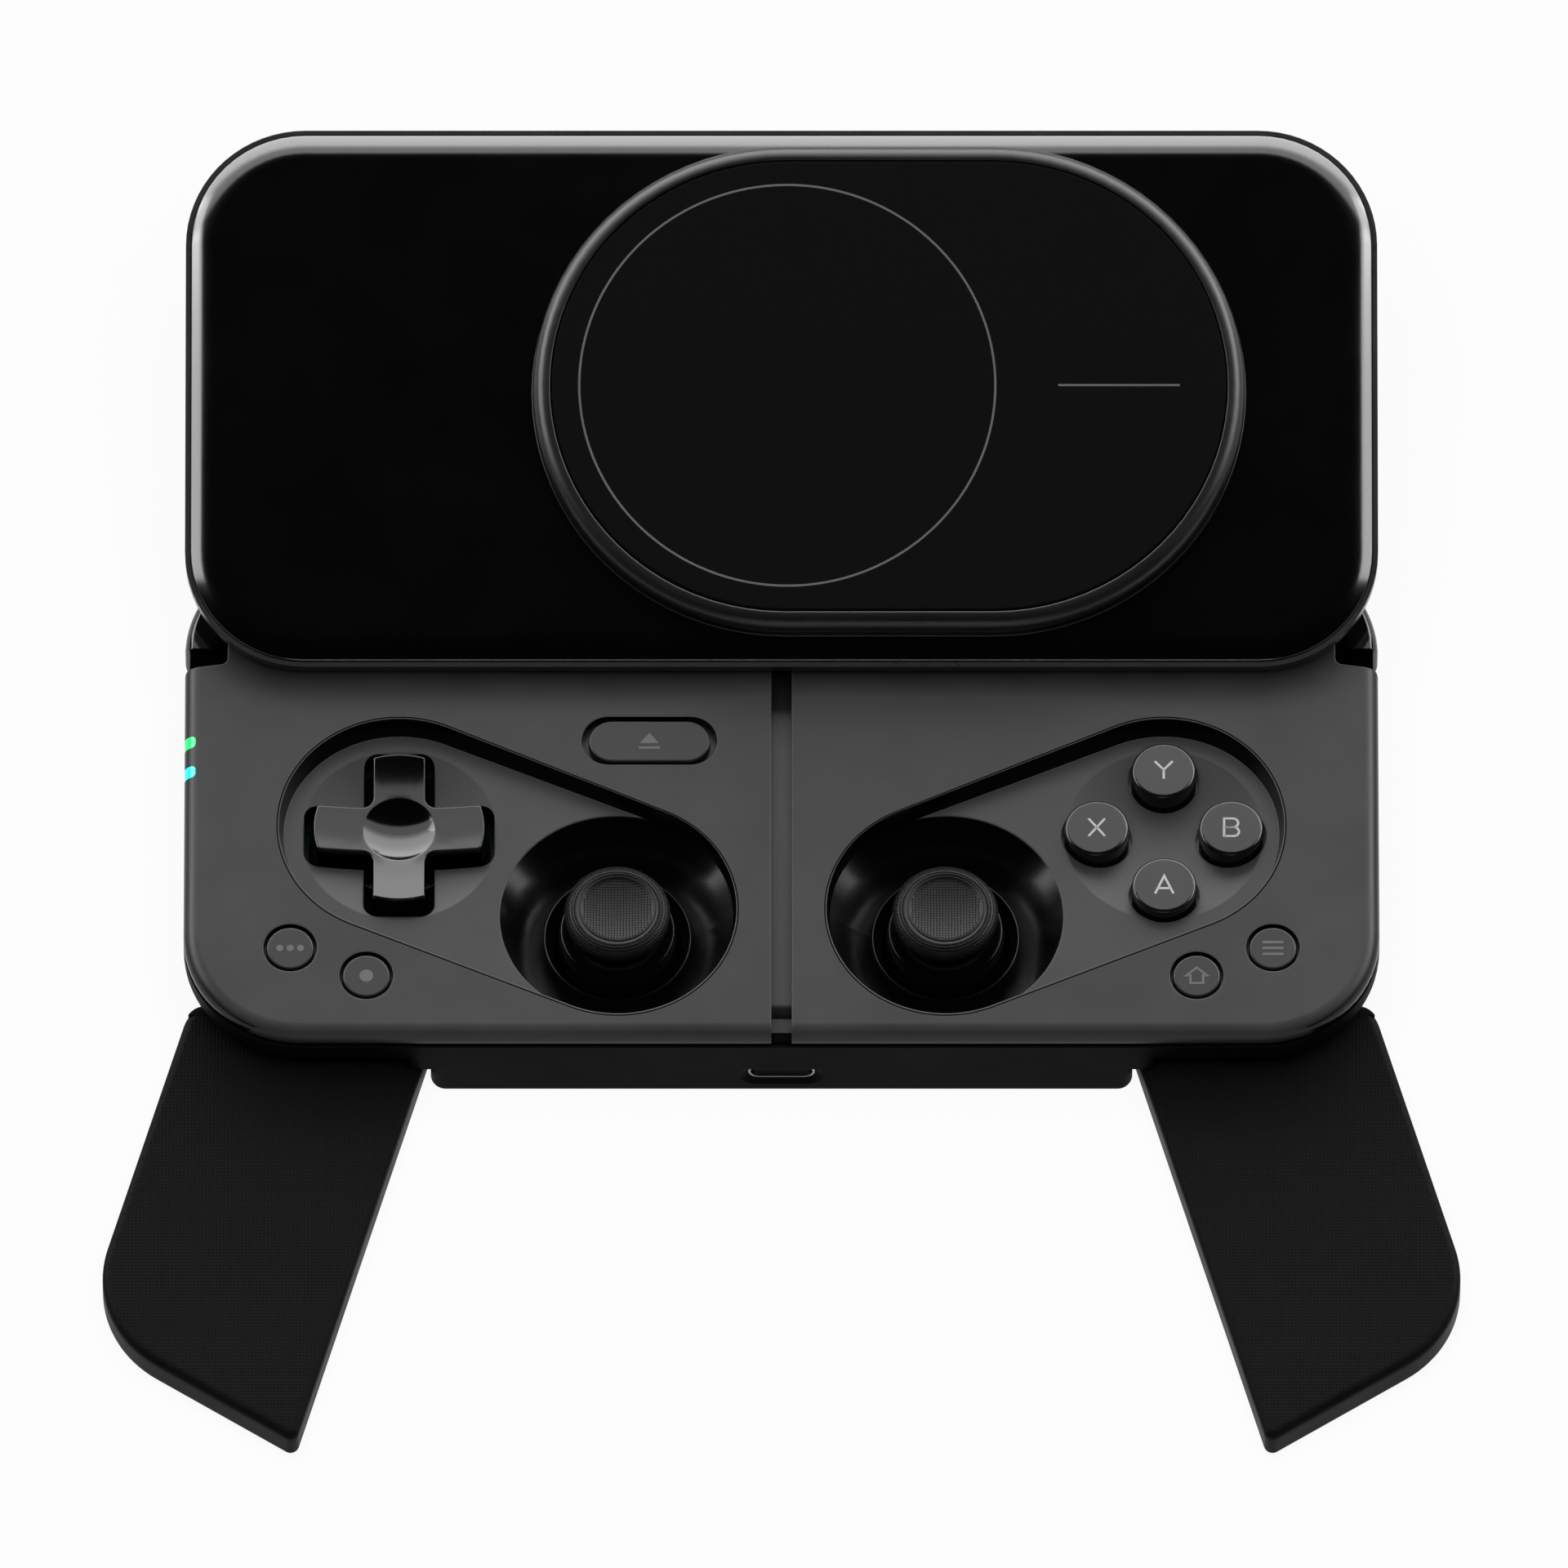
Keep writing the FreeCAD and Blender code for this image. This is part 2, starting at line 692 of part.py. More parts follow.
def front_shell(form):
    shell = form.common(prism(trimmed_corners(), SEAM_TOP, FACE + 1))
    shell = shell.cut(prism(trimmed_corners(), SEAM_TOP - 1, SKIN_UNDER, SKIN))
    trough_half = TROUGH_HALF + TROUGH_WALL
    trough_bottom = RAIL_TOP - RAIL_THICKNESS - TROUGH_FLOOR
    trough_reach = HALF_DEPTH - SKIN
    added = both(recess_shell())
    added.append(
        box(-trough_half, trough_half, -trough_reach, trough_reach, trough_bottom, SKIN_UNDER)
    )
    for x, y in screw_places():
        added.append(post(x, y, BOSS_RADIUS, SKIN_UNDER - SCREW_TIP_DROP, SKIN_UNDER))
    shell = shell.fuse(added)
    cuts = both(recess_cut()) + both(well_cut())
    for side in (-1, 1):
        cuts.append(placed(dish_cut(), on_floor(side * PAD_X, PAD_Y)))
    deep = -DISH_DEPTH - 2 * DISH_SKIN
    cuts.append(placed(dpad_hole(), on_floor(-PAD_X, PAD_Y)))
    for x, y in face_button_places().values():
        hole = post(x, y, BUTTON_HOLE, deep, 1)
        cuts.append(placed(hole, on_floor(PAD_X, PAD_Y)))
    for x, y in key_places().values():
        cuts.append(post(x, y, KEY_RADIUS + KEY_GAP, SKIN_UNDER - 1, FACE + 1))
    cuts.append(
        stadium(EJECT_X, EJECT_Y, EJECT_HOLE_LENGTH, EJECT_HOLE_WIDTH, SKIN_UNDER - 1, FACE + 1)
    )
    half = SLOT_WIDTH / 2
    cuts.append(box(-half, half, -HALF_DEPTH - 1, SLOT_TOP_END, SEAM_TOP, FACE + 1))
    cuts.append(
        box(-TROUGH_HALF, TROUGH_HALF, -trough_reach, trough_reach, RAIL_TOP - RAIL_THICKNESS, SKIN_UNDER)
    )
    for y in light_places():
        cuts.append(light_prism(y))
    for x, y in screw_places():
        bore = SCREW_RADIUS + SCREW_CLEARANCE
        cuts.append(post(x, y, bore, SKIN_UNDER - SCREW_TIP_DROP - 1, SKIN_UNDER - SCREW_TIP_GAP))
    return shell.cut(cuts)


def seam_band():
    outer = prism(trimmed_corners(), SEAM_BOTTOM, SEAM_TOP, SEAM_INSET)
    inner = prism(trimmed_corners(), SEAM_BOTTOM, SEAM_TOP, SEAM_INSET + SEAM_WIDTH)
    return outer.cut(inner)


def axis_frame(x, y, z, angle):
    """A frame turned about Z, for what lies along a leaning hinge."""
    return Placement(Vector(x, y, z), Rotation(Vector(0, 0, 1), angle))


def grip_frame():
    """The left grip's frame: X out along its hinge, Y towards its tip."""
    lean = GRIP_SPLAY / 2
    x = BLOCK_SIDE_RELIEF - HALF_BLOCK - GRIP_BLOCK_GAP
    return axis_frame(x, GRIP_HINGE_Y, GRIP_HINGE_Z, 180 - lean)


def grip_ear():
    start = GRIP_EAR_OFFSET
    end = GRIP_EAR_OFFSET + GRIP_EAR_LENGTH
    barrel = rod(Vector(start, 0, 0), Vector(1, 0, 0), GRIP_EAR_RADIUS, GRIP_EAR_LENGTH)
    rise = FLOOR_TOP - OVERLAP - GRIP_HINGE_Z
    neck = box(start, end, -GRIP_EAR_RADIUS, GRIP_EAR_RADIUS, 0, rise)
    bore = rod(
        Vector(start - 1, 0, 0),
        Vector(1, 0, 0),
        GRIP_PIN_RADIUS + SCREW_CLEARANCE / 2,
        GRIP_EAR_LENGTH + 2,
    )
    return placed(barrel.fuse(neck).cut(bore), grip_frame())


def trigger_frame():
    """The left trigger's frame: X along its hinge, Y towards its free edge."""
    return axis_frame(-TRIGGER_HINGE_X, TRIGGER_HINGE_Y, TRIGGER_HINGE_Z, TRIGGER_LEAN)


def trigger_ears():
    rise = FLOOR_TOP - OVERLAP - TRIGGER_HINGE_Z
    inner = TRIGGER_BARREL_HALF + TRIGGER_EAR_GAP
    ears = []
    for side in (-1, 1):
        near = side * inner
        far = side * (inner + TRIGGER_EAR_THICKNESS)
        x0 = min(near, far)
        x1 = max(near, far)
        round_end = rod(
            Vector(x0, 0, 0), Vector(1, 0, 0), TRIGGER_EAR_RADIUS, TRIGGER_EAR_THICKNESS
        )
        neck = box(x0, x1, -TRIGGER_EAR_RADIUS, TRIGGER_EAR_RADIUS, 0, rise)
        bore = rod(
            Vector(x0 - 1, 0, 0),
            Vector(1, 0, 0),
            TRIGGER_PIN_RADIUS + SCREW_CLEARANCE / 2,
            TRIGGER_EAR_THICKNESS + 2,
        )
        ears.append(placed(round_end.fuse(neck).cut(bore), trigger_frame()))
    return ears


def bumper_pivot():
    """Plan point of the left bumper's pivot."""
    x = -SHOULDER_INNER - BUMPER_GAP - BUMPER_PIVOT_INSET
    y = HALF_DEPTH - BUMPER_THICKNESS / 2
    return x, y


def rear_shell(form):
    shell = form.common(box(-BEYOND * 2, BEYOND * 2, -BEYOND, BEYOND, 0, SEAM_BOTTOM))
    flat = FLAT_WALL_WIDTH / 2
    flat_wall = rectangle(-flat, flat, -HALF_DEPTH, -HALF_DEPTH + 2 * BACK_EDGE, SMALL_ROUND)
    back_wall = rectangle(-flat, flat, HALF_DEPTH - 2 * BACK_EDGE, HALF_DEPTH, SMALL_ROUND)
    middle = [prism(flat_wall, BLOCK_HEIGHT, SEAM_BOTTOM), prism(back_wall, BLOCK_HEIGHT, SEAM_BOTTOM)]
    shell = shell.fuse(middle).removeSplitter()
    strips = prism(rectangle(-BEYOND * 2, BEYOND * 2, -BEYOND, BEYOND, 1), SHOULDER_SHELF, FACE)
    strips = strips.cut(prism(trimmed_corners(), SHOULDER_SHELF, FACE))
    shell = shell.cut(strips)
    shell = shell.cut(prism(trimmed_corners(), FLOOR_TOP + LOWER_RISE, SEAM_BOTTOM + 1, SKIN))
    shell = shell.cut(prism(trimmed_corners(), FLOOR_TOP, FLOOR_TOP + LOWER_RISE, LOWER_INSET))
    added = both(grip_ear())
    for ear in trigger_ears():
        added.extend(both(ear))
    for x, y in screw_places():
        added.append(post(x, y, BOSS_RADIUS, BLOCK_HEIGHT, SKIN_UNDER - SCREW_TIP_DROP))
    shell = shell.fuse(added)
    cuts = [
        box(
            -HATCH_HALF,
            HATCH_HALF,
            -HATCH_REACH,
            HATCH_REACH,
            BLOCK_HEIGHT - 1,
            FLOOR_TOP + OVERLAP,
        )
    ]
    for x, y in screw_places():
        cuts.append(post(x, y, SCREW_RADIUS + SCREW_CLEARANCE, BLOCK_HEIGHT - 1, FACE))
    x, y = bumper_pivot()
    seat = post(
        x,
        y,
        BUMPER_PIN_RADIUS + SCREW_CLEARANCE,
        SHOULDER_SHELF - BUMPER_PIN_LENGTH - BUMPER_DROP,
        SHOULDER_SHELF + 1,
    )
    cuts.extend(both(seat))
    cuts.extend(both(shoulder_window(BUMPER_SWITCH_GAP, 1)))
    return shell.cut(cuts)


def shoulder_window(grow, reach):
    """The opening in the wall behind the left bumper, where its switch shows."""
    wall = HALF_DEPTH - SHOULDER_STRIP
    half = BUMPER_SWITCH_HALF + grow
    rise = BUMPER_SWITCH_RISE + grow
    return box(
        -BUMPER_SWITCH_X - half,
        -BUMPER_SWITCH_X + half,
        wall - SKIN - OVERLAP,
        wall + reach,
        BUMPER_SWITCH_Z - rise,
        BUMPER_SWITCH_Z + rise,
    )


def back_block():
    corners = rectangle(-HALF_BLOCK, HALF_BLOCK, -HALF_DEPTH, HALF_DEPTH, BLOCK_CORNER)
    block = round_edges_at(prism(corners, 0, BLOCK_HEIGHT), 0, BLOCK_EDGE)
    cheek = HALF_DEPTH - BLOCK_CHEEK
    side_relief = box(-BEYOND, BLOCK_SIDE_RELIEF - HALF_BLOCK, -cheek, cheek, -1, BLOCK_HEIGHT + 1)
    block = block.cut(both(side_relief))
    block = block.cut(prism(corners, BLOCK_FLOOR, BLOCK_HEIGHT + 1, BLOCK_WALL + BLOCK_SIDE_RELIEF))
    added = []
    for x, y in screw_places():
        added.append(post(x, y, BLOCK_BOSS_RADIUS, BLOCK_FLOOR / 2, BLOCK_HEIGHT))
    foot = -STICK_PIVOT_DEPTH - HOUSING_DROP - HOUSING_PLATE
    pedestal = post(0, 0, HOUSING_FOOT + PEDESTAL_MARGIN, foot - BLOCK_HEIGHT, foot)
    pedestal = placed(pedestal, on_floor(-STICK_X, STICK_Y))
    pedestal = pedestal.common(box(-BEYOND, BEYOND, -BEYOND, BEYOND, BLOCK_FLOOR / 2, BLOCK_HEIGHT))
    added.extend(both(pedestal))
    side = BLOCK_SIDE_RELIEF - HALF_BLOCK
    anchor_y = GRIP_HINGE_Y + ANCHOR_SHIFT
    anchor = box(
        side + OVERLAP,
        side + GRIP_PIN_ANCHOR + ANCHOR_SHIFT,
        anchor_y - ANCHOR_WIDTH / 2,
        anchor_y + ANCHOR_WIDTH / 2,
        BLOCK_FLOOR / 2,
        BLOCK_HEIGHT - ANCHOR_TOP_GAP,
    )
    added.extend(both(anchor))
    block = block.fuse(added)
    cuts = []
    for x, y in screw_places():
        cuts.append(post(x, y, SCREW_RADIUS + SCREW_CLEARANCE, -1, BLOCK_HEIGHT + 1))
        head = SCREW_HEAD_RADIUS + SCREW_CLEARANCE
        cuts.append(post(x, y, head, -1, SCREW_RECESS + SCREW_HEAD_HEIGHT))
    cuts.extend(both(grip_pin(SCREW_CLEARANCE / 2)))
    cuts.append(socket_mouth())
    return block.cut(cuts)


# The charging socket


def socket_section(width, height, y):
    """The socket's rounded outline, upright, at one depth."""
    lying = outline(
        rectangle(-width / 2, width / 2, -height / 2, height / 2, height / 2 - 0.01), 0
    )
    upright = Placement(Vector(0, y, SOCKET_Z), Rotation(Vector(1, 0, 0), 90))
    lying.Placement = upright
    return lying


def socket_bar(width, height, y0, y1):
    face = Part.Face(socket_section(width, height, y0))
    return face.extrude(Vector(0, y1 - y0, 0))


def socket_mouth():
    """The hole for the socket and the bevel around it."""
    width = SOCKET_WIDTH + 2 * SOCKET_GAP
    height = SOCKET_HEIGHT + 2 * SOCKET_GAP
    hole = socket_bar(width, height, -HALF_DEPTH - 1, -HALF_DEPTH + BLOCK_WALL + 1)
    bevel = Part.makeLoft(
        [
            socket_section(MOUTH_WIDTH, MOUTH_HEIGHT, -HALF_DEPTH),
            socket_section(width, height, -HALF_DEPTH + MOUTH_DEPTH),
        ],
        True,
        True,
    )
    return hole.fuse(bevel)


def usb_c_receptacle():
    start = -HALF_DEPTH + SOCKET_SETBACK
    end = start + SOCKET_LENGTH
    can = socket_bar(SOCKET_WIDTH, SOCKET_HEIGHT, start, end)
    hollow = socket_bar(
        SOCKET_WIDTH - 2 * SOCKET_SKIN, SOCKET_HEIGHT - 2 * SOCKET_SKIN, start - 1, end - SOCKET_BACK_WALL
    )
    can = can.cut(hollow)
    half = TONGUE_WIDTH / 2
    tongue = box(
        -half,
        half,
        end - SOCKET_BACK_WALL - TONGUE_LENGTH,
        end - SOCKET_BACK_WALL / 2,
        SOCKET_Z - TONGUE_THICKNESS / 2,
        SOCKET_Z + TONGUE_THICKNESS / 2,
    )
    legs = []
    leg_bottom = SOCKET_Z + SOCKET_FLAT_HALF
    for side in (-1, 1):
        for back in SOCKET_LEG_BACK:
            x = side * (SOCKET_WIDTH / 2 - SOCKET_LEG) - SOCKET_LEG / 2
            y = end - back - SOCKET_LEG / 2
            legs.append(box(x, x + SOCKET_LEG, y, y + SOCKET_LEG, leg_bottom, FLOOR_TOP))
    return can.fuse([tongue] + legs)


# Boards, membranes, battery, rail, lights and screws


def chip(x, y, size, height):
    half = size / 2
    return box(x - half, x + half, y - half, y + half, BOARD_TOP, BOARD_TOP + height)


def main_board():
    board = prism(trimmed_corners(), FLOOR_TOP, BOARD_TOP, BOARD_INSET)
    cuts = []
    for side in (-1, 1):
        cuts.append(post(side * STICK_X, STICK_Y, BOARD_STICK_HOLE, 0, FACE))
    for x, y in screw_places():
        cuts.append(post(x, y, BOSS_RADIUS + BOARD_BOSS_GAP, 0, FACE))
    board = board.cut(cuts)
    added = []
    for x, y in key_places().values():
        added.append(post(x, y, SWITCH_RADIUS, BOARD_TOP, BOARD_TOP + SWITCH_HEIGHT))
    added.append(post(EJECT_X, EJECT_Y, SWITCH_RADIUS, BOARD_TOP, BOARD_TOP + SWITCH_HEIGHT))
    added.append(chip(CHIP_X, CHIP_Y, CHIP_SIZE, CHIP_HEIGHT))
    added.append(chip(RADIO_X, RADIO_Y, RADIO_SIZE, RADIO_HEIGHT))
    return board.fuse(added)


def dpad_membrane():
    sheet = post(-PAD_X, PAD_Y, PAD_MEMBRANE_RADIUS, BOARD_TOP, BOARD_TOP + MEMBRANE_THICKNESS)
    sheet = sheet.cut(post(-PAD_X, PAD_Y, PAD_MEMBRANE_HOLE, BOARD_TOP - 1, FACE))
    contacts = []
    for dx, dy in ((1, 0), (-1, 0), (0, 1), (0, -1)):
        x = -PAD_X + dx * PAD_CONTACT_OFFSET
        y = PAD_Y + dy * PAD_CONTACT_OFFSET
        top = BOARD_TOP + MEMBRANE_THICKNESS + PAD_CONTACT_RISE
        contacts.append(post(x, y, PAD_CONTACT_RADIUS, BOARD_TOP, top))
    return sheet.fuse(contacts)


def face_button_membrane():
    sheet = post(PAD_X, PAD_Y, BUTTON_MEMBRANE_RADIUS, BOARD_TOP, BOARD_TOP + MEMBRANE_THICKNESS)
    contacts = []
    for x, y in face_button_places().values():
        top = BOARD_TOP + MEMBRANE_THICKNESS + BUTTON_CONTACT_RISE
        contacts.append(post(PAD_X + x, PAD_Y + y, BUTTON_CONTACT_RADIUS, BOARD_TOP, top))
    return sheet.fuse(contacts)


def battery_pack():
    start = BATTERY_END - BATTERY_DEPTH
    corners = rectangle(-BATTERY_HALF, BATTERY_HALF, start, BATTERY_END, BATTERY_CORNER)
    return prism(corners, BLOCK_FLOOR, BLOCK_FLOOR + BATTERY_HEIGHT)


def guide_rail():
    reach = HALF_DEPTH - SKIN - RAIL_END_GAP
    return box(-RAIL_HALF, RAIL_HALF, RAIL_START, reach, RAIL_TOP - RAIL_THICKNESS, RAIL_TOP)


def status_light(form, y):
    return form.common(light_prism(y))


def case_screws():
    screws = []
    top = SKIN_UNDER - 2 * SCREW_TIP_GAP
    for x, y in screw_places():
        head = post(x, y, SCREW_HEAD_RADIUS, SCREW_RECESS, SCREW_RECESS + SCREW_HEAD_HEIGHT)
        shank = post(x, y, SCREW_RADIUS, SCREW_RECESS, top)
        socket = post(x, y, SCREW_SOCKET_RADIUS, SCREW_RECESS - 1, SCREW_RECESS + SCREW_SOCKET_DEPTH)
        screws.append(head.fuse(shank).cut(socket))
    return Part.makeCompound(screws)


def shoulder_board():
    """The left bumper's switch and the small board that holds it."""
    wall = HALF_DEPTH - SHOULDER_STRIP - SKIN - SHOULDER_BOARD_GAP
    plate = box(
        -BUMPER_SWITCH_X - SHOULDER_BOARD_HALF,
        -BUMPER_SWITCH_X + SHOULDER_BOARD_HALF,
        wall - SHOULDER_BOARD_THICKNESS,
        wall,
        FLOOR_TOP + LOWER_RISE + SHOULDER_BOARD_GAP,
        SEAM_BOTTOM - SHOULDER_BOARD_TOP_GAP,
    )
    return plate.fuse(shoulder_window(0, BUMPER_SWITCH_REACH))


# Sticks


def placed_stick(shape):
    return placed(shape, on_floor(-STICK_X, STICK_Y))


def stick_housing():
    z_pivot = -STICK_PIVOT_DEPTH
    base = z_pivot - HOUSING_DROP
    half = HOUSING_HALF
    shell = prism(rectangle(-half, half, -half, half, STEP_ROUND), base, z_pivot + HOUSING_RISE)
    inner = half - HOUSING_WALL
    shell = shell.cut(prism(rectangle(-inner, inner, -inner, inner, SMALL_ROUND), base, 0))
    foot = HOUSING_FOOT
    plate = prism(
        rectangle(-foot, foot, -foot, foot, HOUSING_FOOT_CORNER), base - HOUSING_PLATE, base
    )
    hole = rod(
        Vector(-half - 1, 0, z_pivot),
        Vector(1, 0, 0),
        TRUNNION_RADIUS + STICK_PLAY,
        2 * half + 2,
    )
    return shell.fuse(plate).cut(hole)


def stick_yoke():
    z_pivot = -STICK_PIVOT_DEPTH
    low = z_pivot - GIMBAL_HALF_HEIGHT
    high = z_pivot + GIMBAL_HALF_HEIGHT
    half = YOKE_HALF
    inner = half - YOKE_WALL
    ring = prism(rectangle(-half, half, -half, half, SMALL_ROUND), low, high)
    ring = ring.cut(prism(rectangle(-inner, inner, -inner, inner, SMALL_ROUND / 2), low, high))
    length = HOUSING_HALF - STICK_PLAY - half + YOKE_PIN_ROOT
    pins = []
    for side in (-1, 1):
        start = Vector(side * (half - YOKE_PIN_ROOT), 0, z_pivot)
        pins.append(rod(start, Vector(side, 0, 0), TRUNNION_RADIUS, length))
    ring = ring.fuse(pins)
    hole = rod(
        Vector(0, -half - 1, z_pivot),
        Vector(0, 1, 0),
        ROCKER_PIN_RADIUS + STICK_PLAY,
        2 * half + 2,
    )
    return ring.cut(hole)


def stick_rocker():
    z_pivot = -STICK_PIVOT_DEPTH
    low = z_pivot - GIMBAL_HALF_HEIGHT
    high = z_pivot + GIMBAL_HALF_HEIGHT
    core = post(0, 0, ROCKER_RADIUS, low, high)
    reach = YOKE_HALF - STICK_PLAY
    pins = rod(Vector(0, -reach, z_pivot), Vector(0, 1, 0), ROCKER_PIN_RADIUS, 2 * reach)
    bore = post(0, 0, POST_RADIUS + STICK_PLAY, low - 1, high + 1)
    return core.fuse(pins).cut(bore)


def stick_post():
    z_pivot = -STICK_PIVOT_DEPTH
    inner = DOME_RADIUS - DOME_SKIN
    top = z_pivot + math.sqrt(inner**2 - POST_FLANGE**2) - STICK_PLAY
    shaft = post(0, 0, POST_RADIUS, z_pivot - POST_FOOT, top)
    return shaft.fuse(post(0, 0, POST_FLANGE, top - POST_FLANGE_THICKNESS, top))


def stick_dome():
    centre = Vector(0, 0, -STICK_PIVOT_DEPTH)
    shell = Part.makeSphere(DOME_RADIUS, centre)
    shell = shell.cut(Part.makeSphere(DOME_RADIUS - DOME_SKIN, centre))
    end = -STICK_PIVOT_DEPTH + DOME_RADIUS * math.cos(math.radians(DOME_END))
    return shell.common(post(0, 0, 2 * DOME_RADIUS, end, DOME_RADIUS))


def stick_cap():
    cap = post(0, 0, CAP_RADIUS, CAP_BOTTOM, CAP_TOP)
    cap = round_edges_at(cap, CAP_TOP, CAP_EDGE)
    seat = Part.makeSphere(DOME_RADIUS + STICK_PLAY / 2, Vector(0, 0, -STICK_PIVOT_DEPTH))
    ball = (CAP_DISH_RADIUS**2 + CAP_DISH_DEPTH**2) / (2 * CAP_DISH_DEPTH)
    dish = Part.makeSphere(ball, Vector(0, 0, CAP_TOP - CAP_DISH_DEPTH + ball))
    return cap.cut([seat, dish])


# Direction pad, face buttons and keys


def dpad():
    cross = dpad_cross()
    fall = (DPAD_RADIUS**2 + DPAD_FALL**2) / (2 * DPAD_FALL)
    bowl = (BOWL_RADIUS**2 + BOWL_DEPTH**2) / (2 * BOWL_DEPTH)
    low = DPAD_TOP - DPAD_FALL
    cross = cross.cut(Part.makeSphere(fall, Vector(0, 0, low + fall)))
    rim = [edge for edge in cross.Edges if edge.BoundBox.ZMin > low]
    cross = cross.makeFillet(DPAD_EDGE, rim)
    cross = cross.cut(Part.makeSphere(bowl, Vector(0, 0, low - BOWL_DEPTH + bowl)))
    core = DPAD_CORE
    flange_low = DPAD_FLANGE_TOP - DPAD_FLANGE_THICKNESS
    added = [
        box(-core, core, -core, core, DPAD_FLANGE_TOP, DPAD_BOTTOM),
        post(0, 0, DPAD_FLANGE, flange_low, DPAD_FLANGE_TOP),
    ]
    return placed(cross.fuse(added), on_floor(-PAD_X, PAD_Y))


def dpad_pivot():
    top = DPAD_FLANGE_TOP - DPAD_FLANGE_THICKNESS - PIVOT_GAP
    pin = post(0, 0, PIVOT_RADIUS, top - PIVOT_LENGTH, top)
    return placed(pin, on_floor(-PAD_X, PAD_Y))


def face_button(x, y):
    flange_top = -DISH_DEPTH - DISH_SKIN - BUTTON_FLANGE_GAP
    button = post(x, y, BUTTON_RADIUS, flange_top, BUTTON_TOP)
    button = round_edges_at(button, BUTTON_TOP, BUTTON_EDGE)
    flange = post(x, y, BUTTON_FLANGE, flange_top - BUTTON_FLANGE_THICKNESS, flange_top)
    return placed(button.fuse(flange), on_floor(PAD_X, PAD_Y))


def key_flange_top():
    return SKIN_UNDER - KEY_FLANGE_GAP


def key_stem(x, y):
    switch_top = BOARD_TOP + SWITCH_HEIGHT
    return post(x, y, KEY_STEM_RADIUS, switch_top + SWITCH_GAP, key_flange_top())


def round_key(x, y):
    top = FACE - KEY_TOP_DROP
    flange_top = key_flange_top()
    cap = round_edges_at(post(x, y, KEY_RADIUS, flange_top, top), top, KEY_EDGE)
    flange_radius = KEY_RADIUS + KEY_GAP + KEY_FLANGE_OVERLAP
    flange = post(x, y, flange_radius, flange_top - KEY_FLANGE_THICKNESS, flange_top)
    return cap.fuse([flange, key_stem(x, y)])


def eject_key():
    top = FACE - KEY_TOP_DROP
    flange_top = key_flange_top()
    cap = stadium(EJECT_X, EJECT_Y, EJECT_LENGTH, EJECT_WIDTH, flange_top, top)
    cap = round_edges_at(cap, top, KEY_EDGE)
    flange = stadium(
        EJECT_X,
        EJECT_Y,
        EJECT_HOLE_LENGTH + 2 * KEY_FLANGE_OVERLAP,
        EJECT_HOLE_WIDTH + 2 * KEY_FLANGE_OVERLAP,
        flange_top - KEY_FLANGE_THICKNESS,
        flange_top,
    )
    return cap.fuse([flange, key_stem(EJECT_X, EJECT_Y)])


# Shoulders


def bumper(form):
    low = SHOULDER_SHELF + BUMPER_DROP
    inner_x = -HALF_WIDTH + BUMPER_THICKNESS
    inner_y = HALF_DEPTH - BUMPER_THICKNESS
    end_x = -SHOULDER_INNER - BUMPER_GAP
    corners = [
        (-HALF_WIDTH, BUMPER_START, SMALL_ROUND),
        (inner_x, BUMPER_START, STEP_ROUND),
        (inner_x, inner_y, BODY_CORNER - BUMPER_THICKNESS),
        (end_x, inner_y, SMALL_ROUND),
        (end_x, HALF_DEPTH, STEP_ROUND),
        (-HALF_WIDTH, HALF_DEPTH, BODY_CORNER),
    ]
    bar = form.common(prism(corners, low, FACE - BUMPER_DROP))
    x, y = bumper_pivot()
    pin_low = SHOULDER_SHELF - BUMPER_PIN_LENGTH
    return bar.fuse(post(x, y, BUMPER_PIN_RADIUS, pin_low, low + OVERLAP))


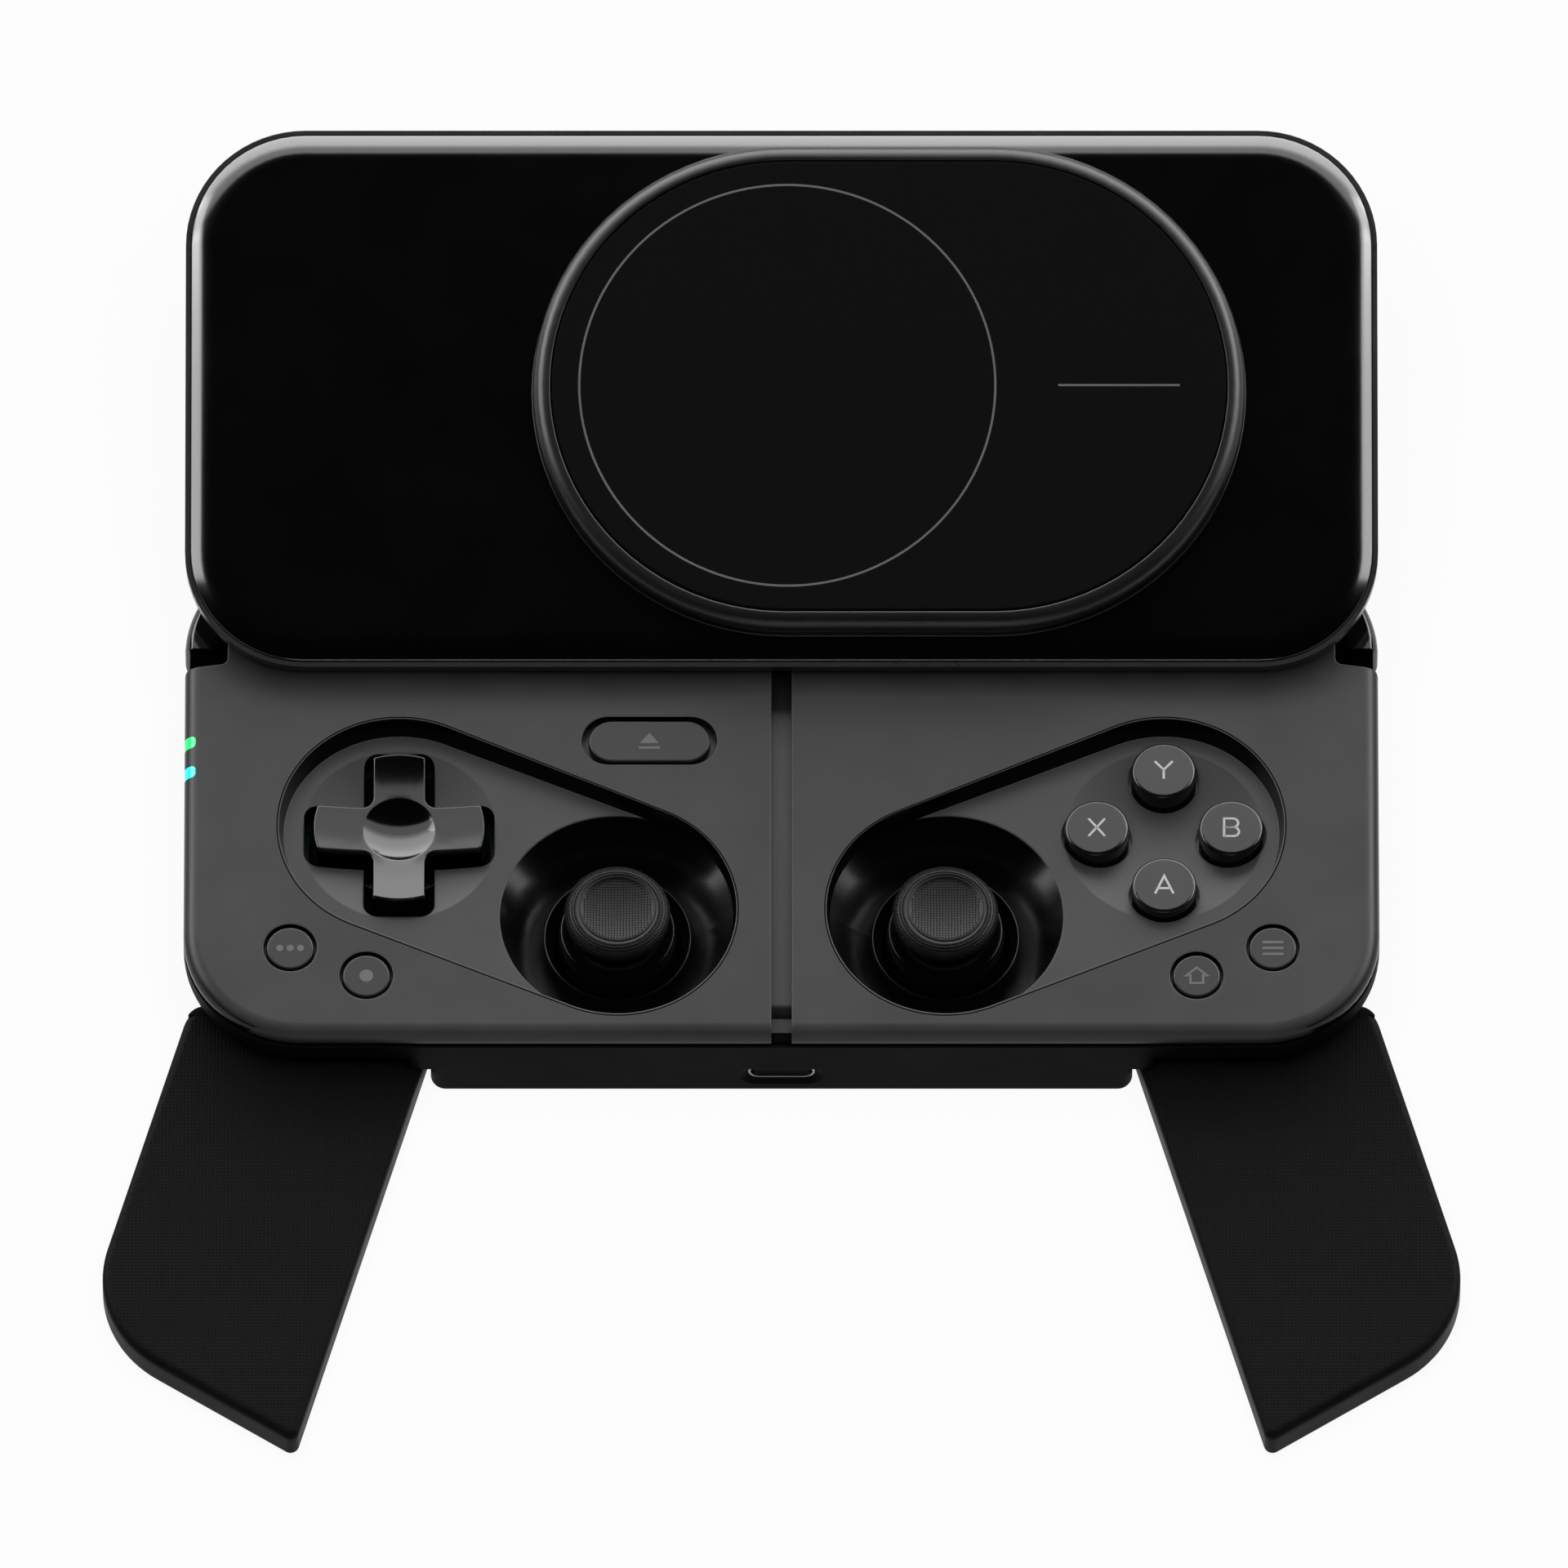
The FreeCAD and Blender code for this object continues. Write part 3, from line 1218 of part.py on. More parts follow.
def trigger():
    top = BLOCK_HEIGHT - TRIGGER_TOP_GAP
    lip = TRIGGER_BARREL_RADIUS + TRIGGER_LIP_GAP

    def edge_y(x):
        """The lower edge, along the hinge and clear of the folded grip."""
        along = (x + TRIGGER_HINGE_X) * TRIGGER_SLOPE
        return TRIGGER_HINGE_Y + along + lip / math.cos(math.radians(TRIGGER_LEAN))

    end_depth = TRIGGER_REACH_Y - edge_y(-TRIGGER_OUTER_X)
    corners = [
        (-TRIGGER_OUTER_X, edge_y(-TRIGGER_OUTER_X), TRIGGER_SMALL_CORNER),
        (-TRIGGER_INNER_X, edge_y(-TRIGGER_INNER_X), TRIGGER_SMALL_CORNER),
        (-TRIGGER_INNER_X, TRIGGER_REACH_Y, TRIGGER_SMALL_CORNER),
        (-TRIGGER_OUTER_X, TRIGGER_REACH_Y, end_depth - TRIGGER_SMALL_CORNER - TRIGGER_END_FLAT),
    ]
    body = round_edges_at(prism(corners, TRIGGER_BOTTOM, top), TRIGGER_BOTTOM, TRIGGER_EDGE)
    barrel = rod(
        Vector(-TRIGGER_BARREL_HALF, 0, 0),
        Vector(1, 0, 0),
        TRIGGER_BARREL_RADIUS,
        2 * TRIGGER_BARREL_HALF,
    )
    web = box(
        -TRIGGER_BARREL_HALF,
        TRIGGER_BARREL_HALF,
        0,
        lip + TRIGGER_WEB_REACH,
        -TRIGGER_SPRING_RADIUS,
        TRIGGER_SPRING_RADIUS,
    )
    bore = rod(
        Vector(-BEYOND / 2, 0, 0),
        Vector(1, 0, 0),
        TRIGGER_PIN_RADIUS + TRIGGER_PIN_CLEARANCE,
        BEYOND,
    )
    spring_room = rod(
        Vector(-TRIGGER_SPRING_HALF - TRIGGER_SPRING_ROOM, 0, 0),
        Vector(1, 0, 0),
        lip - TRIGGER_SPRING_ROOM,
        2 * (TRIGGER_SPRING_HALF + TRIGGER_SPRING_ROOM),
    )
    knuckle = placed(barrel.fuse(web).cut(spring_room), trigger_frame())
    swing_room = box(-BEYOND, BEYOND, 0, BEYOND, 0, BEYOND)
    swing_room.Placement = Placement(
        Vector(0, 0, top - TRIGGER_HINGE_Z), Rotation(Vector(1, 0, 0), -TRIGGER_TRAVEL)
    )
    above = placed(swing_room, trigger_frame())
    return body.fuse(knuckle).cut([above, placed(bore, trigger_frame())])


def trigger_pin():
    inner = TRIGGER_BARREL_HALF + TRIGGER_EAR_GAP + TRIGGER_EAR_THICKNESS
    pin = rod(Vector(-inner, 0, 0), Vector(1, 0, 0), TRIGGER_PIN_RADIUS, 2 * inner)
    return placed(pin, trigger_frame())


def trigger_spring():
    half = TRIGGER_SPRING_HALF
    coil = rod(Vector(-half, 0, 0), Vector(1, 0, 0), TRIGGER_SPRING_RADIUS, 2 * half)
    bore_radius = TRIGGER_PIN_RADIUS + TRIGGER_PIN_CLEARANCE
    bore = rod(Vector(-half - 1, 0, 0), Vector(1, 0, 0), bore_radius, 2 * half + 2)
    rise = BLOCK_HEIGHT - TRIGGER_HINGE_Z
    wire = TRIGGER_SPRING_LEG
    behind = -TRIGGER_SPRING_RADIUS
    leg = box(-half, -half + wire, behind, behind + wire, 0, rise)
    return placed(coil.cut(bore).fuse(leg), trigger_frame())


# Grips


def grip_outline():
    """The grip's corners in its own frame, root at the hinge."""
    lean = math.radians(GRIP_SPLAY / 2)
    skew = math.radians(GRIP_END_SKEW)
    root = -GRIP_THICKNESS / 2
    tip_x = GRIP_LENGTH * math.sin(lean)
    tip_y = GRIP_LENGTH * math.cos(lean)
    slant = GRIP_WIDTH / math.cos(skew)
    end_x = tip_x + slant * math.cos(lean + skew)
    end_y = tip_y - slant * math.sin(lean + skew)
    outer_root_x = end_x + (root - end_y) * math.tan(lean)
    return [
        (0, root, SMALL_ROUND),
        (outer_root_x, root, GRIP_ROOT_CORNER),
        (end_x, end_y, GRIP_END_CORNER),
        (tip_x, tip_y, GRIP_TIP_CORNER),
        (0, 0, STEP_ROUND),
    ]


def grip_notch():
    start = GRIP_EAR_OFFSET - GRIP_EAR_GAP
    end = GRIP_EAR_OFFSET + GRIP_EAR_LENGTH + GRIP_EAR_GAP
    return box(start, end, -GRIP_THICKNESS, GRIP_NOTCH, -BEYOND, BEYOND)


def grip():
    half = GRIP_THICKNESS / 2
    split = half - GRIP_PAD_THICKNESS
    plate = round_edges_at(prism(grip_outline(), -half, half), -half, GRIP_EDGE)
    knuckle = rod(Vector(-BEYOND, 0, 0), Vector(1, 0, 0), half, 3 * BEYOND)
    beyond_hinge = box(-BEYOND, 2 * BEYOND, 0, 2 * BEYOND, -half, split)
    plate = plate.common(knuckle.fuse(beyond_hinge))
    bore = rod(
        Vector(-BEYOND, 0, 0),
        Vector(1, 0, 0),
        GRIP_PIN_RADIUS + GRIP_PIN_CLEARANCE,
        BEYOND + GRIP_PIN_LENGTH - GRIP_PIN_ANCHOR + OVERLAP,
    )
    pad_room = box(-BEYOND, 2 * BEYOND, 0, 2 * BEYOND, split, half + 1)
    return placed(plate.cut([bore, grip_notch(), pad_room]), grip_frame())


def grip_pad():
    half = GRIP_THICKNESS / 2
    split = half - GRIP_PAD_THICKNESS
    skin = round_edges_at(prism(grip_outline(), split, half), half, GRIP_EDGE)
    skin = skin.common(box(-BEYOND, 2 * BEYOND, 0, 2 * BEYOND, split, half))
    return placed(skin.cut(grip_notch()), grip_frame())


def grip_pin(grow):
    reach = Vector(-GRIP_PIN_ANCHOR, 0, 0)
    pin = rod(reach, Vector(1, 0, 0), GRIP_PIN_RADIUS + grow, GRIP_PIN_LENGTH)
    return placed(pin, grip_frame())


# Lid, in its own frame, then leant back about its hinge


def on_lid():
    hinge = Placement(
        Vector(0, LID_HINGE_Y, LID_HINGE_Z), Rotation(Vector(1, 0, 0), LID_TILT)
    )
    corner = Placement(Vector(0, -LID_HINGE_INSET, -LID_HINGE_RISE), Rotation())
    return hinge.multiply(corner)


def lid_corners():
    return rectangle(-HALF_WIDTH, HALF_WIDTH, 0, LID_DEPTH, BODY_CORNER)


def hinge_pockets():
    """The rooms in the lid for the slider's knuckles and the springs."""
    start = LID_POCKET_START
    end = LID_KNUCKLE_START + LID_KNUCKLE_LENGTH + LID_KNUCKLE_GAP
    room = box(
        start,
        end,
        LID_HINGE_INSET - LID_POCKET_HALF,
        LID_HINGE_INSET + LID_POCKET_HALF,
        -1,
        LID_POCKET_TOP,
    )
    return both(room)


def lid_frame():
    frame = prism(lid_corners(), 0, LID_RIM_HEIGHT)
    frame = round_edges_at(frame, 0, LID_UNDER_EDGE)
    frame = frame.cut(prism(lid_corners(), LID_POCKET_FLOOR, LID_RIM_HEIGHT + 1, LID_RIM_WIDTH))
    bore = rod(
        Vector(LID_PIN_START - LID_PIN_END_GAP, LID_HINGE_INSET, LID_HINGE_RISE),
        Vector(1, 0, 0),
        LID_PIN_RADIUS + LID_PIN_CLEARANCE,
        LID_PIN_END - LID_PIN_START + 2 * LID_PIN_END_GAP,
    )
    return placed(frame.cut(hinge_pockets() + both(bore)), on_lid())


def lid_plate():
    plate = prism(lid_corners(), LID_POCKET_FLOOR, LID_HEIGHT, LID_RIM_WIDTH + LID_SEAM)
    plate = round_edges_at(plate, LID_HEIGHT, LID_PLATE_EDGE)
    return placed(plate.cut(hinge_pockets()), on_lid())


def magnet_puck():
    puck = stadium(PUCK_X, PUCK_UP, PUCK_LENGTH, PUCK_WIDTH, LID_HEIGHT, LID_HEIGHT + PUCK_HEIGHT)
    puck = round_edges_at(puck, LID_HEIGHT + PUCK_HEIGHT, PUCK_EDGE)
    room = stadium(
        PUCK_X,
        PUCK_UP,
        PUCK_LENGTH - 2 * PAD_INSET,
        PUCK_WIDTH - 2 * PAD_INSET,
        LID_HEIGHT + PUCK_HEIGHT - PAD_THICKNESS,
        LID_HEIGHT + PUCK_HEIGHT + 1,
    )
    top = LID_HEIGHT + PUCK_HEIGHT - PAD_THICKNESS
    magnets = magnet_pieces(MAGNET_GAP, top - MAGNET_HEIGHT, top + 1)
    return placed(puck.cut([room] + magnets), on_lid())


def puck_pad():
    top = LID_HEIGHT + PUCK_HEIGHT
    inset = PAD_INSET + LID_SEAM
    pad = stadium(
        PUCK_X, PUCK_UP, PUCK_LENGTH - 2 * inset, PUCK_WIDTH - 2 * inset, top - PAD_THICKNESS, top
    )
    return placed(round_edges_at(pad, top, PAD_EDGE), on_lid())


def magnet_pieces(grow, z0, z1):
    ring = post(MAGNET_X, PUCK_UP, MAGNET_OUTER + grow, z0, z1)
    ring = ring.cut(post(MAGNET_X, PUCK_UP, MAGNET_INNER - grow, z0 - 1, z1 + 1))
    half = BAR_MAGNET_WIDTH / 2 + grow
    start = BAR_MAGNET_START - grow
    end = BAR_MAGNET_START + BAR_MAGNET_LENGTH + grow
    bar = prism(rectangle(start, end, PUCK_UP - half, PUCK_UP + half, STEP_ROUND), z0, z1)
    return [ring, bar]


def magnet_ring():
    top = LID_HEIGHT + PUCK_HEIGHT - PAD_THICKNESS
    pieces = magnet_pieces(0, top - MAGNET_HEIGHT, top - MAGNET_GAP / 2)
    return placed(Part.makeCompound(pieces), on_lid())


def lid_hinge_pin():
    start = Vector(LID_PIN_START, LID_HINGE_Y, LID_HINGE_Z)
    pin = rod(start, Vector(1, 0, 0), LID_PIN_RADIUS, LID_PIN_END - LID_PIN_START)
    return Part.makeCompound(both(pin))


def lid_torsion_springs():
    start = LID_KNUCKLE_START - LID_KNUCKLE_GAP - LID_SPRING_LENGTH
    centre = Vector(start, LID_HINGE_Y, LID_HINGE_Z)
    along = Vector(1, 0, 0)
    coil = rod(centre, along, LID_SPRING_RADIUS, LID_SPRING_LENGTH)
    coil = coil.cut(rod(centre - along, along, LID_SPRING_BORE, LID_SPRING_LENGTH + 2))
    bar_top = FACE + CARRIAGE_GAP + CARRIAGE_THICKNESS
    leg = box(
        start,
        start + LID_SPRING_LEG,
        LID_HINGE_Y - LID_SPRING_RADIUS,
        LID_HINGE_Y - LID_SPRING_RADIUS + LID_SPRING_LEG,
        bar_top,
        LID_HINGE_Z,
    )
    return Part.makeCompound(both(coil.fuse(leg)))


# Slider


def slide_carriage():
    low = FACE + CARRIAGE_GAP
    top = low + CARRIAGE_THICKNESS
    start = LID_HINGE_Y - CROSSBAR_START
    bar = box(-CROSSBAR_HALF, CROSSBAR_HALF, start, LID_HINGE_Y + CROSSBAR_END, low, top)
    stem = box(-STEM_HALF, STEM_HALF, start, LID_HINGE_Y + STEM_END, low, top)
    keel_start = start + KEEL_START
    keel_end = LID_HINGE_Y + STEM_END
    foot_low = RAIL_TOP + FOOT_GAP
    foot_top = foot_low + FOOT_THICKNESS
    keel = box(-KEEL_HALF, KEEL_HALF, keel_start, keel_end, foot_low, low)
    foot = box(-FOOT_HALF, FOOT_HALF, keel_start, keel_end, foot_low, foot_top)
    bar = bar.fuse([stem, keel, foot])
    radius = LID_KNUCKLE_RADIUS
    barrel = rod(
        Vector(LID_KNUCKLE_START, LID_HINGE_Y, LID_HINGE_Z),
        Vector(1, 0, 0),
        radius,
        LID_KNUCKLE_LENGTH,
    )
    web = box(
        LID_KNUCKLE_START,
        LID_KNUCKLE_START + LID_KNUCKLE_LENGTH,
        LID_HINGE_Y - radius,
        LID_HINGE_Y + radius,
        low,
        LID_HINGE_Z,
    )
    bore = rod(
        Vector(LID_KNUCKLE_START - 1, LID_HINGE_Y, LID_HINGE_Z),
        Vector(1, 0, 0),
        LID_PIN_RADIUS + LID_PIN_CLEARANCE / 2,
        LID_KNUCKLE_LENGTH + 2,
    )
    knuckle = barrel.fuse(web).cut(bore)
    return bar.fuse(both(knuckle)).removeSplitter()


def save_pair(shape, name):
    save(shape, "left_" + name)
    save(mirrored(shape), "right_" + name)


def main():
    form = body_form()
    save(front_shell(form), "front_shell")
    save(seam_band(), "seam_band")
    save(rear_shell(form), "rear_shell")
    save(back_block(), "back_block")
    save(usb_c_receptacle(), "usb_c_receptacle")
    save(main_board(), "main_board")
    save(battery_pack(), "battery_pack")
    save(guide_rail(), "guide_rail")
    for name, y in zip(("status_light_green", "status_light_cyan"), light_places()):
        save(status_light(form, y), name)
    save(case_screws(), "case_screws")
    save(dpad_membrane(), "dpad_membrane")
    save(face_button_membrane(), "face_button_membrane")
    save(dpad(), "dpad")
    save(dpad_pivot(), "dpad_pivot")
    for name, (x, y) in face_button_places().items():
        save(face_button(x, y), name)
    for name, (x, y) in key_places().items():
        save(round_key(x, y), name)
    save(eject_key(), "key_eject")
    for make, name in (
        (stick_housing, "stick_housing"),
        (stick_yoke, "stick_yoke"),
        (stick_rocker, "stick_rocker"),
        (stick_post, "stick_post"),
        (stick_dome, "stick_dome"),
        (stick_cap, "stick_cap"),
    ):
        save_pair(placed_stick(make()), name)
    save_pair(shoulder_board(), "shoulder_board")
    save_pair(bumper(form), "bumper")
    save_pair(trigger(), "trigger")
    save(Part.makeCompound(both(trigger_pin())), "trigger_pins")
    save(Part.makeCompound(both(trigger_spring())), "trigger_springs")
    save_pair(grip(), "grip")
    save_pair(grip_pad(), "grip_pad")
    save(Part.makeCompound(both(grip_pin(0))), "grip_hinge_pins")
    save(lid_frame(), "lid_frame")
    save(lid_plate(), "lid_plate")
    save(magnet_puck(), "magnet_puck")
    save(puck_pad(), "puck_pad")
    save(magnet_ring(), "magnet_ring")
    save(lid_hinge_pin(), "lid_hinge_pin")
    save(lid_torsion_springs(), "lid_torsion_springs")
    save(slide_carriage(), "slide_carriage")


main()
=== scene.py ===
# %% [markdown]
# # Mobile game controller
# This lesson dresses a phone gamepad: a slab body with two sticks, a lid that slides up and tilts, and
# two grips that flip out below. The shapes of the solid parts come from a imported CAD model, which is
# loaded as a fixed frame. What is added here is what a CAD model leaves plain: finishes, letters, knurls,
# coiled springs, screws, contacts and weave. Everything is in metres, X to the right, Y away from the
# player and Z up.

import math

import bpy
from mathutils import Matrix, Vector


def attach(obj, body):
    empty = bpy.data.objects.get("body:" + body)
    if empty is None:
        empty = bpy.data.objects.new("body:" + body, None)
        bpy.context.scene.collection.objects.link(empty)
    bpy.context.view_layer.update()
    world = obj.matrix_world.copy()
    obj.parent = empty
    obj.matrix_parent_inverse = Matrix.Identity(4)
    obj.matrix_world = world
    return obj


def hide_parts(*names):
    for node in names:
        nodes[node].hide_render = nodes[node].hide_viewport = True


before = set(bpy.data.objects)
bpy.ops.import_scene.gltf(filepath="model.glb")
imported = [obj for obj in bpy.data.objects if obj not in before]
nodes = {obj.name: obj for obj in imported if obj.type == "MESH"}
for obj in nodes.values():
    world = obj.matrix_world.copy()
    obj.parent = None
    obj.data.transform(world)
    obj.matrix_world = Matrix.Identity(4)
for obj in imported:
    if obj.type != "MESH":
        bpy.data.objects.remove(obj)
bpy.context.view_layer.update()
MM = 0.001

# %% [markdown]
# The photograph is taken from straight in front and high up, with a lens so long that the lines stay
# almost parallel. A 1200 mm lens at 7 metres does the same, and an orthographic camera would be the other
# way. The target is the middle of the picture on the body's face.


# %% Camera
def new_object(name, data):
    """An object that is linked to the scene."""
    made = bpy.data.objects.new(name, data)
    bpy.context.scene.collection.objects.link(made)
    return made


CAMERA_HEIGHT = math.radians(61.5)
CAMERA_DISTANCE = 7.0
target = Vector((0.33, 0.81, 15.6)) * MM
towards_camera = Vector((0, -math.cos(CAMERA_HEIGHT), math.sin(CAMERA_HEIGHT)))
camera_data = bpy.data.cameras.new("camera")
camera_data.lens = 1200
camera_data.sensor_width = 36
camera_data.clip_end = 100
camera = new_object("camera", camera_data)
camera.rotation_mode = "QUATERNION"
camera.location = target + towards_camera * CAMERA_DISTANCE
camera.rotation_quaternion = (-towards_camera).to_track_quat("-Z", "Y")
bpy.context.scene.camera = camera
bpy.context.scene.view_settings.view_transform = "Standard"
print("camera at", [round(v, 3) for v in camera.location])

# %% [markdown]
# Node trees, for shaders here and for geometry later, are built from nodes and links. Small helpers keep
# the cells short. The first adds a node and gives each of its inputs a value or another node's output,
# and others make the Math, Map Range and Mix nodes. One turns the colour that an eye reads off a screen,
# from 0 to 255, into the linear value that a renderer works with.


# %% Helpers for node trees
def add(tree, kind, inputs=None, **settings):
    """A new node. Each input is a plain value, or another node's output, which is then linked."""
    made = tree.nodes.new(kind)
    for key, value in settings.items():
        setattr(made, key, value)
    for key, value in (inputs or {}).items():
        if isinstance(value, bpy.types.NodeSocket):
            link(tree, value, made.inputs[key])
        else:
            made.inputs[key].default_value = value
    return made


def link(tree, output, socket):
    tree.links.new(output, socket)


def screen(*levels):
    """A colour written as it looks on a screen, as linear red, green, blue and alpha."""
    if len(levels) == 1:
        levels = levels * 3
    linear = []
    for level in levels:
        value = level / 255
        linear.append(value / 12.92 if value <= 0.04045 else ((value + 0.055) / 1.055) ** 2.4)
    return (*linear, 1.0)


def math_node(tree, operation, first, second=0.0):
    """A Math node, whose inputs are outputs of other nodes or numbers."""
    return add(tree, "ShaderNodeMath", {0: first, 1: second}, operation=operation).outputs[0]


def remap(tree, value, low, high, new_low, new_high, smooth=False):
    """A Map Range node from low..high to new_low..new_high."""
    kind = "SMOOTHSTEP" if smooth else "LINEAR"
    inputs = dict(enumerate((value, low, high, new_low, new_high)))
    return add(tree, "ShaderNodeMapRange", inputs, interpolation_type=kind).outputs[0]


def blend_colours(tree, factor, first, second):
    """A colour mix, whose ends are outputs of other nodes or colours."""
    return add(tree, "ShaderNodeMix", {0: factor, 6: first, 7: second}, data_type="RGBA").outputs[2]


print("helpers ready")

# %% [markdown]
# The studio is a pale floor under the part. A floor that is lit only by the lamps would come out grey
# where the part shades it, so for rays that look at it straight, in a mirror or through glass, most of
# its shader is a white glow of strength 1, and the rest is plain diffuse, which keeps the soft shadow.
# Light that bounces off it sees a dark grey.


# %% Floor
def seen_directly(tree):
    """1 for camera, glossy and transmission rays, and 0 for the rays that carry light."""
    path = add(tree, "ShaderNodeLightPath")
    first = math_node(tree, "MAXIMUM", path.outputs["Is Camera Ray"], path.outputs["Is Glossy Ray"])
    return math_node(tree, "MAXIMUM", first, path.outputs["Is Transmission Ray"])


def mix_shaders(tree, share, first, second):
    """The first shader where share is 0 and the second where it is 1."""
    inputs = {0: share, 1: first.outputs[0], 2: second.outputs[0]}
    return add(tree, "ShaderNodeMixShader", inputs)


FLOOR_HALF = 20.0
GLOW_SHARE = 0.93
floor_mesh = bpy.data.meshes.new("floor")
floor_corners = [(x * FLOOR_HALF, y * FLOOR_HALF, 0) for x, y in ((-1, -1), (1, -1), (1, 1), (-1, 1))]
floor_mesh.from_pydata(floor_corners, [], [(0, 1, 2, 3)])
floor = new_object("floor", floor_mesh)
floor_finish = bpy.data.materials.new("pale_floor")
floor_finish.use_nodes = True
tree = floor_finish.node_tree
tree.nodes.clear()
paper = add(tree, "ShaderNodeBsdfDiffuse", {"Color": screen(245)})
bounce = add(tree, "ShaderNodeBsdfDiffuse", {"Color": screen(60)})
glow = add(tree, "ShaderNodeEmission", {"Color": (1, 1, 1, 1), "Strength": 1.0})
pale = mix_shaders(tree, GLOW_SHARE, paper, glow)
either = mix_shaders(tree, seen_directly(tree), bounce, pale)
add(tree, "ShaderNodeOutputMaterial", {0: either.outputs[0]})
floor_mesh.materials.append(floor_finish)
print("floor", 2 * FLOOR_HALF, "m wide")

# %% [markdown]
# For mirrors, the world is the white wall of the studio low down and a dark ceiling above it, and the
# camera sees it white all round. The dark ceiling is what makes the lid read as black glass. As a source
# of light the world is only a dim even fill.

# %% World
WORLD_FILL = 0.07
WALL_FADES_FROM = 0.02
WALL_FADES_TO = 0.12
world = bpy.data.worlds.new("studio")
bpy.context.scene.world = world
world.use_nodes = True
tree = world.node_tree
tree.nodes.clear()
direction = add(tree, "ShaderNodeTexCoord")
split = add(tree, "ShaderNodeSeparateXYZ", {0: direction.outputs["Generated"]})
path = add(tree, "ShaderNodeLightPath")
wall = remap(tree, split.outputs[2], WALL_FADES_FROM, WALL_FADES_TO, 1.0, 0.0, smooth=True)
wall = math_node(tree, "MAXIMUM", wall, path.outputs["Is Camera Ray"])
backdrop = add(tree, "ShaderNodeBackground", {"Color": (1, 1, 1, 1), "Strength": wall})
fill = add(tree, "ShaderNodeBackground", {"Color": (1, 1, 1, 1), "Strength": WORLD_FILL})
either = mix_shaders(tree, seen_directly(tree), fill, backdrop)
add(tree, "ShaderNodeOutputWorld", {0: either.outputs[0]})
print("world fill", WORLD_FILL)

# %% [markdown]
# Gloss black shows its lamps as shapes, so the lamps that it mirrors are set apart from the one that
# lights colours. A soft box overhead gives the plain even light, and mirrors don't see it. A tall panel
# behind the part is what mirrors see: the face reflects what stands at 60 degrees up there, so the panel
# is bright up to 44 degrees, a little more so low down, and then fades, and ends at 67. That gives the
# direction pad its bright lower arm and its black upper one. It is made of flat bands, each turned
# towards the part. Two panels at each side draw the lid's corners and side edges, and a flat one low in
# front draws the thin lines along the front edges.

# %% Lamps
PANEL_DISTANCE = 1.1


def panel(name, azimuth, elevation, wide, tall, glow, distance=PANEL_DISTANCE, mirrored=True):
    """A soft panel that faces the part. Azimuth 0 is behind it and 90 on its right."""
    data = bpy.data.lights.new(name, "AREA")
    data.shape = "RECTANGLE"
    data.size = wide
    data.size_y = tall
    data.energy = glow * math.pi * wide * tall
    lamp = new_object(name, data)
    a = math.radians(azimuth)
    e = math.radians(elevation)
    away = Vector((math.sin(a) * math.cos(e), math.cos(a) * math.cos(e), math.sin(e)))
    lamp.rotation_mode = "QUATERNION"
    lamp.location = Vector((0, 0, 0.015)) + away * distance
    lamp.rotation_quaternion = (-away).to_track_quat("-Z", "Y")
    lamp.visible_camera = False
    lamp.visible_glossy = mirrored
    lamp.visible_diffuse = not mirrored
    return lamp


BAND_COUNT = 11
BAND_OVERLAP = 1.02
PANEL_LOW = 12.0
PANEL_HIGH = 67.0
PANEL_GLOW = 5.3
BRIGHT_TO = 44.0
FADE_OVER = 9.0
FADE_BY = 3.5
BRIGHTER_BELOW = 32.0
BRIGHTER_BY = 0.08
band_angle = (PANEL_HIGH - PANEL_LOW) / BAND_COUNT
band_tall = 2 * PANEL_DISTANCE * math.tan(math.radians(band_angle / 2)) * BAND_OVERLAP
for i in range(BAND_COUNT):
    middle = PANEL_LOW + band_angle * (i + 0.5)
    fade = min(1.0, max(0.0, (middle - BRIGHT_TO) / FADE_OVER))
    strength = PANEL_GLOW - FADE_BY * fade + BRIGHTER_BY * max(0.0, BRIGHTER_BELOW - middle)
    panel(f"back_panel_{i}", 0, elevation=middle, wide=3.0, tall=band_tall, glow=strength)
for side, name in ((-1, "left"), (1, "right")):
    panel(f"{name}_panel", side * 80, elevation=29, wide=0.21, tall=0.28, glow=4.6, distance=0.55)
    panel(f"{name}_corner_panel", side * 62, elevation=27, wide=0.17, tall=0.22, glow=4.9, distance=0.55)
panel("front_panel", 180, elevation=17, wide=0.5, tall=0.07, glow=4.5)
panel("soft_box", 180, elevation=86, wide=1.1, tall=1.1, glow=3.9, distance=1.2, mirrored=False)
print("lamps", len(bpy.data.lights))

# %% [markdown]
# Every solid finish is built by one function, because all of them have the same four parts: a base colour
# that is slightly cloudy, a fine grain that stands in the bump, a roughness that wanders a little as
# handled plastic does, and edges that are rounded and painted lighter, partly as wear and partly as a
# painted highlight along the edge. The edges come from the Bevel node, which looks sideways for a corner
# and returns a softened normal. Where that differs from the surface's own normal there is an edge, and
# the lighter wear and painted highlight go there. Real bevels in the mesh would be the other way, but the
# CAD meshes stay as they are.


# %% One function for solid finishes
def scaled(colour, factor):
    """A colour made lighter or darker, with its alpha kept at 1."""
    return (*[v * factor for v in colour[:3]], 1.0)


